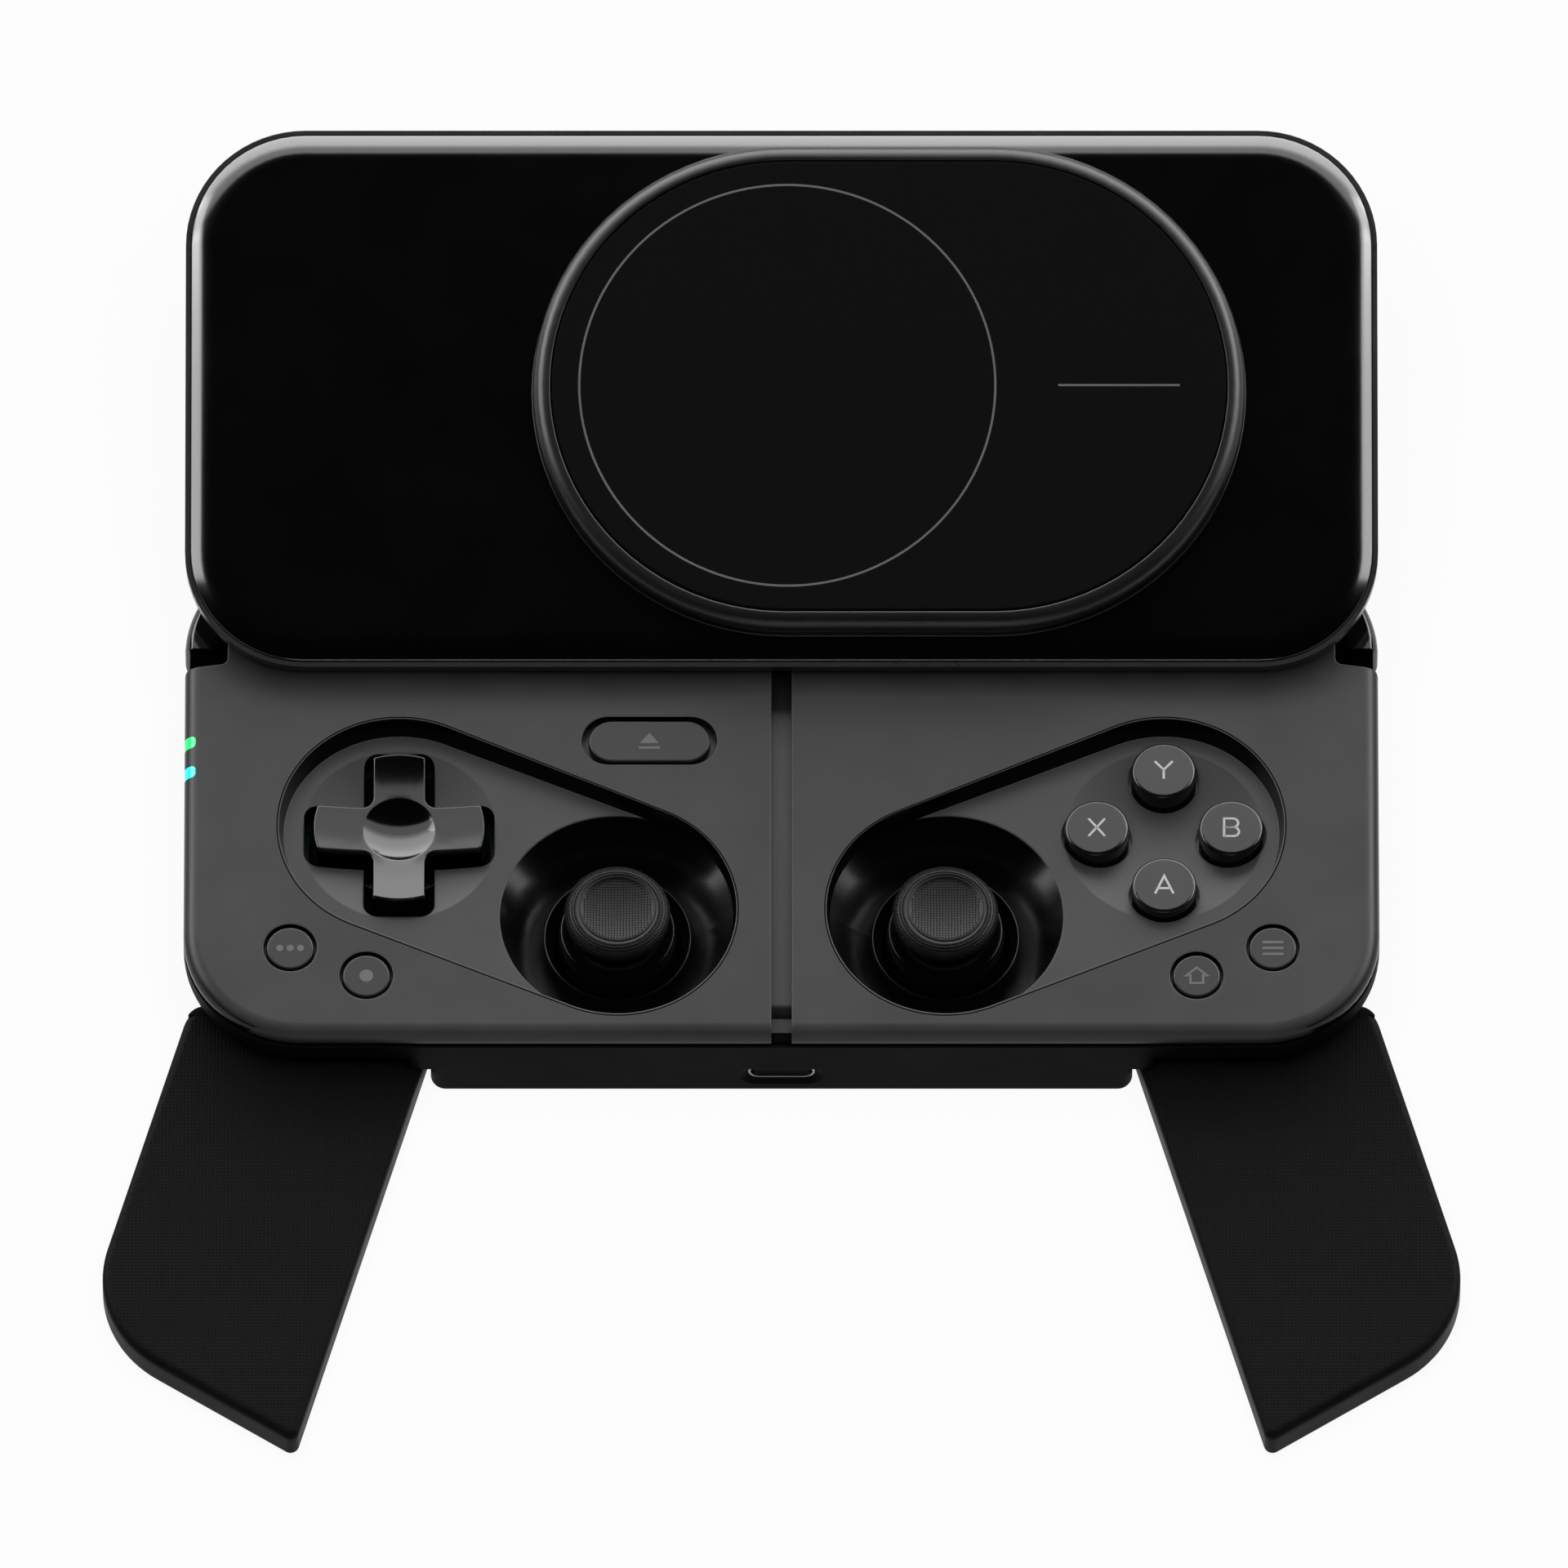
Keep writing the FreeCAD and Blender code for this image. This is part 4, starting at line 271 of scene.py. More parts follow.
def finish(
    name, colour, rough, metal=0.0, specular=0.5, cloud=0.1, grain=0.12, depth=4.0, wear_and_highlight=0.3, edge=0.12,
):
    """A solid finish: grain and edge in millimetres, depth in micrometres, the rest from 0 to 1."""
    material = bpy.data.materials.new(name)
    material.use_nodes = True
    tree = material.node_tree
    shader = tree.nodes["Principled BSDF"]
    shader.inputs["Metallic"].default_value = metal
    shader.inputs["Specular IOR Level"].default_value = specular
    place = add(tree, "ShaderNodeTexCoord").outputs["Object"]
    noise = {"Vector": place, "Scale": 90.0, "Detail": 4.0, "Roughness": 0.6}
    clouds = add(tree, "ShaderNodeTexNoise", noise)
    noise = {"Vector": place, "Scale": 1000 / grain * 0.5, "Detail": 2.0}
    grains = add(tree, "ShaderNodeTexNoise", noise)
    cloudy = remap(tree, clouds.outputs[0], 0.3, 0.7, 0, 1)
    base = blend_colours(tree, cloudy, scaled(colour, 1 - cloud), scaled(colour, 1 + cloud))
    soft = add(tree, "ShaderNodeBevel", {"Radius": edge * MM}, samples=6)
    surface = add(tree, "ShaderNodeNewGeometry")
    normals = {0: soft.outputs[0], 1: surface.outputs["Normal"]}
    agree = add(tree, "ShaderNodeVectorMath", normals, operation="DOT_PRODUCT")
    # edges are painted lighter here: partly wear, partly a painted highlight along each edge
    worn_and_highlit = remap(tree, agree.outputs["Value"], 0.99, 0.85, 0.0, wear_and_highlight, smooth=True)
    rubbed_and_highlit = tuple(min(1.0, v * 2.2 + 0.004) for v in colour[:3]) + (1.0,)
    link(tree, blend_colours(tree, worn_and_highlit, base, rubbed_and_highlit), shader.inputs["Base Color"])
    wander = remap(tree, clouds.outputs[0], 0.3, 0.7, rough * 0.9, min(1.0, rough * 1.1))
    link(tree, wander, shader.inputs["Roughness"])
    relief = {"Strength": 1.0, "Distance": depth * 1e-6}
    relief |= {"Height": grains.outputs[0], "Normal": soft.outputs[0]}
    bump = add(tree, "ShaderNodeBump", relief)
    link(tree, bump.outputs[0], shader.inputs["Normal"])
    return {"material": material, "tree": tree, "shader": shader, "place": place}


def dress(made, *names):
    """Give a finish to whole CAD nodes."""
    for name in names:
        slots = nodes[name].data.materials
        if len(slots) == 0:
            slots.append(made["material"])
        for i in range(len(slots)):
            slots[i] = made["material"]
    return len(names)


print("finish function ready")

# %% [markdown]
# The body is moulded plastic in three tones: a satin grey face with a very fine spark texture, black
# lower shells with a slightly coarser grain, and a matte black seam band between them.

# %% Body plastics
grey_face = finish("grey_face", screen(46), 0.4, specular=0.26, grain=0.14, depth=3.0, wear_and_highlight=0.8, edge=0.3)
black_shell = finish(
    "black_shell", screen(15), 0.5, specular=0.02, grain=0.2, depth=5.0, wear_and_highlight=0.35, edge=0.2,
)
# This matte black is the real seam band and also the painted shadow line round the recesses.
seam_black = finish("seam_black", screen(5), 0.6, specular=0.01, grain=0.2, wear_and_highlight=0.1)
count = dress(grey_face, "front_shell")
count += dress(black_shell, "rear_shell", "back_block")
count += dress(seam_black, "seam_band")
print("body nodes dressed", count)

# %% [markdown]
# The walls of the recesses and the wells of the sticks lie in shade, and that shade is painted black
# into the face's material, while the floors keep the grey of the face. One moulding carries both, so the
# painted shade is a mask in its material. The mask knows the recess floor, a plane that leans back by 3
# degrees: what faces sideways, or lies in a well, is painted black as shade. Height above that plane is
# found with a dot product on the object coordinates.

# %% Painted black shade on the walls and wells of the grey face
LEAN = math.radians(3)
floor_up = Vector((0, math.sin(LEAN), math.cos(LEAN)))
floor_back = Vector((0, math.cos(LEAN), -math.sin(LEAN)))
FLOOR_POINT = Vector((0, -5.7, 13.2)) * MM
STICK_X = 21.95 * MM
STICK_Y = -18.4 * MM
WELL_RIM = 15.85 * MM
FRONT_WALL = -36.0 * MM
tree = grey_face["tree"]
surface = add(tree, "ShaderNodeNewGeometry")
across = add(tree, "ShaderNodeSeparateXYZ", {0: grey_face["place"]})
upright = add(tree, "ShaderNodeSeparateXYZ", {0: surface.outputs["True Normal"]})
# painted shade: surfaces that face sideways are found by their tilt and painted black
steep_shade = remap(tree, upright.outputs[2], 0.75, 0.62, 0.0, 1.0)
side_x = math_node(tree, "SUBTRACT", math_node(tree, "ABSOLUTE", across.outputs[0]), STICK_X)
side_y = math_node(tree, "SUBTRACT", across.outputs[1], STICK_Y)
squares = [math_node(tree, "POWER", side, 2.0) for side in (side_x, side_y)]
reach = math_node(tree, "SQRT", math_node(tree, "ADD", *squares))
in_well_shade = remap(tree, reach, WELL_RIM - 0.02 * MM, WELL_RIM - 0.12 * MM, 0.0, 1.0)
along_up = {0: grey_face["place"], 1: tuple(floor_up)}
drop = add(tree, "ShaderNodeVectorMath", along_up, operation="DOT_PRODUCT")
floor_level = FLOOR_POINT.dot(floor_up)
below = remap(tree, drop.outputs["Value"], floor_level - 0.03 * MM, floor_level - 0.15 * MM, 0.0, 1.0)
well = math_node(tree, "MULTIPLY", in_well_shade, below)
inside = remap(tree, across.outputs[1], FRONT_WALL, FRONT_WALL + 0.4 * MM, 0.0, 1.0)
wall = math_node(tree, "MULTIPLY", steep_shade, inside)
# black is the painted shade mask: steep walls and the inside of each well turn near black
black = math_node(tree, "MAXIMUM", wall, well)
base = grey_face["shader"].inputs["Base Color"]
link(tree, blend_colours(tree, black, base.links[0].from_socket, screen(3)), base)
rough = grey_face["shader"].inputs["Roughness"]
smoother = math_node(tree, "MULTIPLY", black, 0.22)
link(tree, math_node(tree, "SUBTRACT", rough.links[0].from_socket, smoother), rough)
print("black mask on the face ready")

# %% [markdown]
# The direction pad, the buttons, the bumpers and the lid's top are gloss black or satin dark grey. Gloss
# is a low roughness with hardly any grain. The buttons are softer on top than on their sides, which a
# mask by height would give, but here the light does it: the flat tops mirror the back panel and the sides
# mirror the dark front.

# %% Gloss and satin blacks
pad_gloss = finish("pad_gloss", screen(4), 0.1, cloud=0.15, grain=0.3, depth=0.3, wear_and_highlight=0.25, edge=0.2)
button_gloss = finish("button_gloss", screen(12), 0.2, grain=0.1, depth=0.8, wear_and_highlight=0.15, edge=0.15)
bumper_gloss = finish(
    "bumper_gloss", screen(4), 0.08, cloud=0.2, grain=0.3, depth=0.3, wear_and_highlight=0.2, edge=0.2,
)
key_grey = finish("key_grey", screen(26), 0.35, specular=0.4, depth=2.0, wear_and_highlight=0.2, edge=0.15)
lid_gloss = finish(
    "lid_gloss", screen(3), 0.15, specular=1.0, cloud=0.05, grain=0.25, depth=0.4, wear_and_highlight=0.1, edge=0.15,
)
lid_rim = finish("lid_rim", screen(36), 0.3, metal=0.2, grain=0.1, depth=1.0, edge=0.15)
puck_grey = finish("puck_grey", screen(13), 0.34, depth=1.5, wear_and_highlight=0.02, edge=0.05)
pad_rubber = finish(
    "pad_rubber", screen(7), 0.7, specular=0.03, grain=0.18, depth=6.0, wear_and_highlight=0.1, edge=0.1,
)
trigger_black = finish("trigger_black", screen(14), 0.4, specular=0.4, grain=0.2, edge=0.25)
count = dress(pad_gloss, "dpad")
count += dress(button_gloss, "button_a", "button_b", "button_x", "button_y")
count += dress(bumper_gloss, "left_bumper", "right_bumper")
count += dress(key_grey, "key_more", "key_record", "key_home", "key_menu", "key_eject")
count += dress(lid_gloss, "lid_plate")
count += dress(lid_rim, "lid_frame")
count += dress(puck_grey, "magnet_puck")
count += dress(pad_rubber, "puck_pad")
count += dress(trigger_black, "left_trigger", "right_trigger")
print("gloss nodes dressed", count)

# %% [markdown]
# The sticks and the grips are rubber and soft-touch plastic, and the membranes under the pads are
# silicone rubber, which is dark here and never glossy.

# %% Rubbers
cap_rubber = finish(
    "cap_rubber", screen(10), 0.45, specular=0.24, grain=0.15, depth=5.0, wear_and_highlight=0.25, edge=0.1,
)
dome_black = finish(
    "dome_black", screen(5), 0.14, specular=0.45, grain=0.2, depth=1.0, wear_and_highlight=0.2, edge=0.1,
)
grip_black = finish("grip_black", screen(10), 0.45, specular=0.05, grain=0.2, edge=0.25)
grip_skin = finish(
    "grip_skin", screen(14), 0.55, specular=0.04, grain=0.16, depth=5.0, wear_and_highlight=0.25, edge=0.25,
)
membrane = finish("membrane_rubber", screen(7, 7, 8), 0.75, specular=0.04, grain=0.2, depth=3.0, wear_and_highlight=0.1)
count = dress(cap_rubber, "left_stick_cap", "right_stick_cap")
count += dress(dome_black, "left_stick_dome", "right_stick_dome")
count += dress(grip_black, "left_grip", "right_grip")
count += dress(grip_skin, "left_grip_pad", "right_grip_pad")
count += dress(membrane, "dpad_membrane", "face_button_membrane")
print("rubber nodes dressed", count)

# %% [markdown]
# Metals need a metallic value of 1 and a roughness that fits how they were made: drawn pins and springs
# are bright, plated screws and the stamped socket are brushed, and the carriage is die cast and blasted.

# %% Metals
pin_steel = finish(
    "pin_steel", screen(178, 180, 184), 0.22, metal=1.0, cloud=0.08, grain=0.08, depth=0.6, wear_and_highlight=0.2,
)
spring_steel = finish(
    "spring_steel", screen(150, 152, 156), 0.28, metal=1.0, grain=0.1, depth=0.8, wear_and_highlight=0.2,
)
screw_steel = finish(
    "screw_steel", screen(58, 58, 60), 0.34, metal=1.0, cloud=0.15, grain=0.15, depth=1.0, wear_and_highlight=0.6,
)
socket_steel = finish("socket_steel", screen(140, 141, 144), 0.3, metal=1.0, depth=0.8)
carriage_steel = finish(
    "carriage_steel", screen(34, 34, 36), 0.42, metal=0.6, cloud=0.15, grain=0.16, depth=3.0, wear_and_highlight=0.5,
)
magnet_nickel = finish(
    "magnet_nickel", screen(168, 170, 172), 0.25, metal=1.0, cloud=0.08, grain=0.1, depth=0.6, wear_and_highlight=0.2,
)
count = dress(pin_steel, "trigger_pins", "grip_hinge_pins", "lid_hinge_pin", "dpad_pivot")
count += dress(spring_steel, "trigger_springs", "lid_torsion_springs")
count += dress(screw_steel, "case_screws")
count += dress(socket_steel, "usb_c_receptacle")
count += dress(carriage_steel, "slide_carriage")
count += dress(magnet_nickel, "magnet_ring")
print("metal nodes dressed", count)

# %% [markdown]
# Inside are the boards, the cell and the gimbals of the sticks. They show when the part is opened or its
# pieces are moved apart, so they get finishes of their own: a dark green board with lacquer over copper
# lines, a cell in grey foil with creases, and dark mechanism plastic.

# %% Inside finishes
board_green = finish(
    "board_green", screen(7, 18, 12), 0.4, specular=0.12, cloud=0.2, grain=0.4, depth=2.0, wear_and_highlight=0.2,
)
tree = board_green["tree"]
track_colours = {"Color1": screen(8, 20, 13), "Color2": screen(7, 17, 11), "Mortar": screen(15, 34, 21)}
track_sizes = {"Vector": board_green["place"], "Scale": 240.0, "Mortar Size": 0.03}
tracks = add(tree, "ShaderNodeTexBrick", {**track_sizes, **track_colours})
link(tree, tracks.outputs["Color"], board_green["shader"].inputs["Base Color"])
cell_foil = finish(
    "cell_foil", screen(150, 152, 156), 0.38, metal=0.7, cloud=0.12, grain=1.6, depth=40.0, wear_and_highlight=0.1,
)
mechanism = finish("mechanism_plastic", screen(36, 37, 40), 0.5, specular=0.4, grain=0.15, depth=3.0)
rail_grey = finish("rail_grey", screen(22), 0.3, grain=0.15, depth=1.5, wear_and_highlight=0.2)
count = dress(board_green, "main_board", "left_shoulder_board", "right_shoulder_board")
count += dress(cell_foil, "battery_pack")
gimbal_parts = ("stick_housing", "stick_yoke", "stick_rocker", "stick_post")
count += dress(mechanism, *[f"{side}_{part}" for side in ("left", "right") for part in gimbal_parts])
count += dress(rail_grey, "guide_rail")
print("inside nodes dressed", count)

# %% [markdown]
# The two status lights are light pipes, clear plastic with a diode behind. They are lit in the picture,
# so they glow. Emission gives that, a little uneven, with a smooth skin over it.


# %% Status lights
def light_pipe(name, colour, node):
    """A finish that glows a little unevenly, given to one light pipe."""
    made = finish(name, scaled(colour, 0.15), 0.2, cloud=0.02, grain=0.3, depth=0.5, wear_and_highlight=0.0)
    tree = made["tree"]
    glow = add(tree, "ShaderNodeTexNoise", {"Vector": made["place"], "Scale": 700.0})
    uneven = remap(tree, glow.outputs[0], 0.2, 0.8, 0.92, 1.0)
    link(tree, uneven, made["shader"].inputs["Emission Strength"])
    made["shader"].inputs["Emission Color"].default_value = colour
    dress(made, node)


light_pipe("light_green", screen(0, 251, 135), "status_light_green")
light_pipe("light_cyan", screen(0, 253, 248), "status_light_cyan")
print("status lights lit")

# %% [markdown]
# New pieces are drawn in their own flat frame in millimetres and then put on the node that carries them.
# A helper finds where a node's flat top is from its highest points along a chosen direction, so a letter
# sits on its button whatever the CAD model says about the button's height.


# %% Helpers for new pieces
FLAT_WITHIN = 0.02 * MM


def top_frame(name, up=Vector((0, 0, 1))):
    """The middle of a CAD node's highest flat, with its right, back and up directions, as a matrix."""
    right = Vector((1, 0, 0))
    back = up.cross(right)
    points = [vertex.co for vertex in nodes[name].data.vertices]
    height = max(point.dot(up) for point in points)
    top = [point for point in points if height - point.dot(up) < FLAT_WITHIN]
    middle = up * height
    for axis in (right, back):
        along = [point.dot(axis) for point in top]
        middle = middle + axis * ((min(along) + max(along)) / 2)
    turned = Matrix((right, back, up)).transposed().to_4x4()
    return Matrix.Translation(middle) @ turned


def piece(name, points, faces, made, place, smooth=False):
    """A mesh object from points in millimetres in the frame called place."""
    mesh = bpy.data.meshes.new(name)
    mesh.from_pydata([place @ (Vector(point) * MM) for point in points], [], faces)
    mesh.polygons.foreach_set("use_smooth", [smooth] * len(mesh.polygons))
    mesh.materials.append(made["material"])
    mesh.update()
    made_object = bpy.data.objects.new(name, mesh)
    bpy.context.scene.collection.objects.link(made_object)
    return made_object


def seat(made_object, body):
    """Every new piece rides on a body."""
    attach(made_object, body)
    return made_object


print("piece helpers ready")

# %% [markdown]
# The letters and the icons are printed lines of even width. A font would be the easy way, but its strokes
# are too heavy for this face, so each sign is a few polylines, and each polyline becomes a flat ribbon
# with mitred corners. The ribbon stands two hundredths of a millimetre above the key and reaches as far
# into it, as a thick print does.

# %% Ribbons
INK_RISE = 0.02
INK_ROOT = -0.02


def ribbon(line, width, closed=False):
    """Left and right edge points of a polyline of even width."""
    count = len(line)
    edges = []
    for i in range(count):
        here = Vector(line[i])
        before = Vector(line[i - 1]) if i or closed else None
        after = Vector(line[(i + 1) % count]) if i < count - 1 or closed else None
        back = (here - before).normalized() if before is not None else (after - here).normalized()
        ahead = (after - here).normalized() if after is not None else back
        side = Vector((-(back + ahead).y, (back + ahead).x)).normalized()
        stretch = 1 / max(0.35, side.dot(Vector((-back.y, back.x))))
        edges.append((here + side * width / 2 * stretch, here - side * width / 2 * stretch))
    return edges


def ink(lines, width):
    """Points and faces of printed lines: (points, closed) pairs."""
    points = []
    faces = []
    for line, closed in lines:
        start = len(points)
        edges = ribbon(line, width, closed)
        for left, right in edges:
            for z in (INK_RISE, INK_ROOT):
                points.append((left.x, left.y, z))
                points.append((right.x, right.y, z))
        count = len(edges)
        for i in range(count if closed else count - 1):
            a = start + 4 * i
            b = start + 4 * ((i + 1) % count)
            faces += [(a, a + 1, b + 1, b), (a + 2, b + 2, b + 3, a + 3)]
            faces += [(a, b, b + 2, a + 2), (a + 1, a + 3, b + 3, b + 1)]
        if not closed:
            a = start
            b = start + 4 * (count - 1)
            faces += [(a, a + 2, a + 3, a + 1), (b, b + 1, b + 3, b + 2)]
    return points, faces


def arc(x, y, radius, start, end, steps=14):
    """Points along an arc, with angles in degrees."""
    turns = [math.radians(start + (end - start) * i / steps) for i in range(steps + 1)]
    return [(x + radius * math.cos(t), y + radius * math.sin(t)) for t in turns]


print("ribbon of a bar", len(ink([([(0, 0), (1, 0)], False)], 0.3)[1]), "faces")

# %% [markdown]
# A painted shadow line runs round each recess a little outside the edge of its wall: a dark flat
# ribbon where the edge casts a thin shade. The recess is a round-ended slot from the pad to the stick.
# Its wall leans outwards and its floor leans back, so the edge lies further out where the floor is
# deeper. The line is a flat ribbon along that edge, on the face.

# %% Painted shadow line round the recesses
PAD_X = 51.2
PAD_Y = -5.7
FACE = 15.6
RECESS_RADIUS = 16.0
EDGE_RADIUS = 16.1
EDGE_GROWS_FAR = 0.0224
EDGE_GROWS_NEAR = 0.0141
SHADOW_LINE_OUT = 0.24
SHADOW_LINE_WIDE = 0.16
END_STEPS = 72


def recess_edge(side, out_by):
    """Points round the edge of one recess, moved outwards."""
    pad = Vector((side * PAD_X, PAD_Y))
    stick = Vector((side * STICK_X / MM, STICK_Y / MM))
    heading = math.atan2(stick.y - pad.y, stick.x - pad.x)
    points = []
    for middle, start in ((pad, math.pi / 2), (stick, -math.pi / 2)):
        for i in range(END_STEPS + 1):
            turn = heading + start + math.pi * i / END_STEPS
            away = Vector((math.cos(turn), math.sin(turn)))
            rise = (middle + away * RECESS_RADIUS).y - PAD_Y
            radius = EDGE_RADIUS + max(EDGE_GROWS_NEAR * rise, EDGE_GROWS_FAR * rise)
            points.append(tuple(middle + away * (radius + out_by)))
    return points


face_place = Matrix.Translation(Vector((0, 0, FACE)) * MM)
for side, name in ((-1, "left"), (1, "right")):
    points, faces = ink([(recess_edge(side, SHADOW_LINE_OUT), True)], SHADOW_LINE_WIDE)
    recess_shadow_line = piece(f"{name}_recess_shadow_line", points, faces, seam_black, face_place)
    seat(recess_shadow_line, "base")
    print(recess_shadow_line.name, len(faces), "faces")

# %% [markdown]
# Four plain capitals, nearly three millimetres high, name the face buttons. They are the usual marks of
# such a pad and carry no maker's style: A and X and Y are straight strokes, and B is a stem with two
# bowls.

# %% Letters
print_light = finish(
    "print_light", screen(190), 0.5, specular=0.3, cloud=0.06, grain=0.1, depth=1.0, wear_and_highlight=0.0, edge=0.05,
)
LETTER_HEIGHT = 2.75
LETTER_STROKE = 0.31
h = LETTER_HEIGHT / 2
bowl_top = [(-0.95, h)] + arc(0.25, h / 2, h / 2, 90, -90) + [(-0.95, 0)]
bowl_low = [(-0.95, 0)] + arc(0.35, -h / 2, h / 2, 90, -90) + [(-0.95, -h)]
letters = {
    "a": [([(-1.22, -h), (0, h), (1.22, -h)], False), ([(-0.8, -0.55), (0.8, -0.55)], False)],
    "b": [(bowl_top, False), (bowl_low, False), ([(-0.95, -h - 0.12), (-0.95, h + 0.12)], False)],
    "x": [([(-1.1, -h), (1.1, h)], False), ([(-1.1, h), (1.1, -h)], False)],
    "y": [([(-1.2, h), (0, 0.05), (1.2, h)], False), ([(0, 0.1), (0, -h)], False)],
}
for letter, lines in letters.items():
    points, faces = ink(lines, LETTER_STROKE)
    sign = piece(f"letter_{letter}", points, faces, print_light, top_frame(f"button_{letter}", floor_up))
    seat(sign, f"button_{letter}")
print("letters", len(letters))

# %% [markdown]
# The small keys carry generic signs: three dots, a disc, a house, three bars and an eject triangle. They
# are dimmer than the letters. The dots and bars repeat, so a Geometry Nodes tree makes them: a line of
# points, and one sign on each. The tree has named inputs for its sizes, and ends in Realize Instances,
# because an export keeps only real faces.


# %% Running a Geometry Nodes tree
def start_tree(name, inputs):
    """A new tree with a geometry input and output and the named inputs given as (name, kind, value)."""
    group = bpy.data.node_groups.new(name, "GeometryNodeTree")
    group.interface.new_socket("Geometry", in_out="INPUT", socket_type="NodeSocketGeometry")
    group.interface.new_socket("Geometry", in_out="OUTPUT", socket_type="NodeSocketGeometry")
    for label, kind, value in inputs:
        socket = group.interface.new_socket(label, in_out="INPUT", socket_type=f"NodeSocket{kind}")
        socket.default_value = value
    return group, add(group, "NodeGroupInput"), add(group, "NodeGroupOutput")


def finish_tree(group, geometry, end, made):
    """Realize Instances and Set Material close every tree."""
    real = add(group, "GeometryNodeRealizeInstances", {0: geometry})
    coloured = add(group, "GeometryNodeSetMaterial", {0: real.outputs[0], "Material": made["material"]})
    link(group, coloured.outputs[0], end.inputs[0])


def run_tree(name, group, settings, place, smooth=False, start=None):
    """Run a tree with its settings and keep the result as a plain mesh in the frame called place."""
    grown = new_object(name, start or bpy.data.meshes.new(name))
    modifier = grown.modifiers.new("grow", "NODES")
    modifier.node_group = group
    for item in group.interface.items_tree:
        if item.in_out == "INPUT" and item.name in settings:
            modifier[item.identifier] = settings[item.name]
    bpy.context.view_layer.update()
    done = bpy.data.meshes.new_from_object(grown.evaluated_get(bpy.context.evaluated_depsgraph_get()))
    grown.modifiers.remove(modifier)
    done.transform(place)
    done.polygons.foreach_set("use_smooth", [smooth] * len(done.polygons))
    grown.data = done
    done.name = name
    return grown


print("tree helpers ready")

# %% Dots, disc and bars
print_dim = finish(
    "print_dim", screen(92), 0.55, specular=0.3, cloud=0.06, grain=0.1, depth=1.0, wear_and_highlight=0.0, edge=0.05,
)


def row_tree(name, kind, made=print_dim):
    """Signs in a row: discs for kind DISC and bars for kind BAR."""
    inputs = [("Count", "Int", 3), ("Step", "Vector", (1, 0, 0)), ("Start", "Vector", (0, 0, 0))]
    inputs += [("Size", "Vector", (1, 1, 1))]
    group, begin, end = start_tree(name, inputs)
    sources = {"Count": "Count", "Offset": "Step", "Start Location": "Start"}
    line_inputs = {label: begin.outputs[source] for label, source in sources.items()}
    line = add(group, "GeometryNodeMeshLine", line_inputs)
    if kind == "DISC":
        sign = add(group, "GeometryNodeMeshCylinder", {"Vertices": 32, "Radius": 0.5, "Depth": 1.0})
    else:
        sign = add(group, "GeometryNodeMeshCube")
    copies = {"Points": line.outputs[0], "Instance": sign.outputs[0], "Scale": begin.outputs["Size"]}
    spread = add(group, "GeometryNodeInstanceOnPoints", copies)
    finish_tree(group, spread.outputs[0], end, made)
    return group


ink_height = INK_RISE - INK_ROOT
disc_row = row_tree("disc_row", "DISC")
bar_row = row_tree("bar_row", "BAR")
rows = [
    ("sign_more", disc_row, "key_more", 3, (1.38, 0, 0), (-1.38, 0, 0), (0.95, 0.95, ink_height)),
    ("sign_record", disc_row, "key_record", 1, (0, 0, 0), (0, 0, 0), (1.85, 1.85, ink_height)),
    ("sign_menu", bar_row, "key_menu", 3, (0, 0.9, 0), (0, -0.9, 0), (2.8, 0.37, ink_height)),
]
for name, group, key, number, step, start, size in rows:
    settings = {"Count": number}
    for label, lengths in (("Step", step), ("Start", start), ("Size", size)):
        settings[label] = [v * MM for v in lengths]
    sign = run_tree(name, group, settings, top_frame(key))
    seat(sign, key)
    print(name, len(sign.data.polygons), "faces")

# %% House and eject signs
HOUSE_STROKE = 0.33
EJECT_LOW = -0.32
EJECT_HALF = 1.3
EJECT_TALL = 1.57
EJECT_BAR = 0.34
EJECT_GAP = 0.67
EJECT_BAR_HALF = 1.42
wall_line = [(-0.85, 0.05), (-0.85, -1.12), (0.85, -1.12), (0.85, 0.05)]
roof_line = [(1.36, 0.05), (0, 1.22), (-1.36, 0.05)]
points, faces = ink([(wall_line + roof_line, True)], HOUSE_STROKE)
seat(piece("sign_home", points, faces, print_dim, top_frame("key_home")), "key_home")
triangle = [(-EJECT_HALF, EJECT_LOW), (EJECT_HALF, EJECT_LOW), (0, EJECT_LOW + EJECT_TALL)]
solid = [(x, y, z) for z in (INK_RISE, INK_ROOT) for x, y in triangle]
solid_faces = [(0, 1, 2), (5, 4, 3), (0, 3, 4, 1), (1, 4, 5, 2), (2, 5, 3, 0)]
bar_line = [(x, EJECT_LOW - EJECT_GAP) for x in (-EJECT_BAR_HALF, EJECT_BAR_HALF)]
bar_points, bar_faces = ink([(bar_line, False)], EJECT_BAR)
solid_faces += [tuple(i + len(solid) for i in face) for face in bar_faces]
sign = piece("sign_eject", solid + bar_points, solid_faces, print_dim, top_frame("key_eject"))
seat(sign, "key_eject")
print("house", len(faces), "eject", len(solid_faces), "faces")

# %% [markdown]
# The puck's pad shows where the phone's magnets are: one thin ring and one short line, printed in grey.
# Both are ribbons too. The lid leans forward by 13.3 degrees, so its own up direction is used.

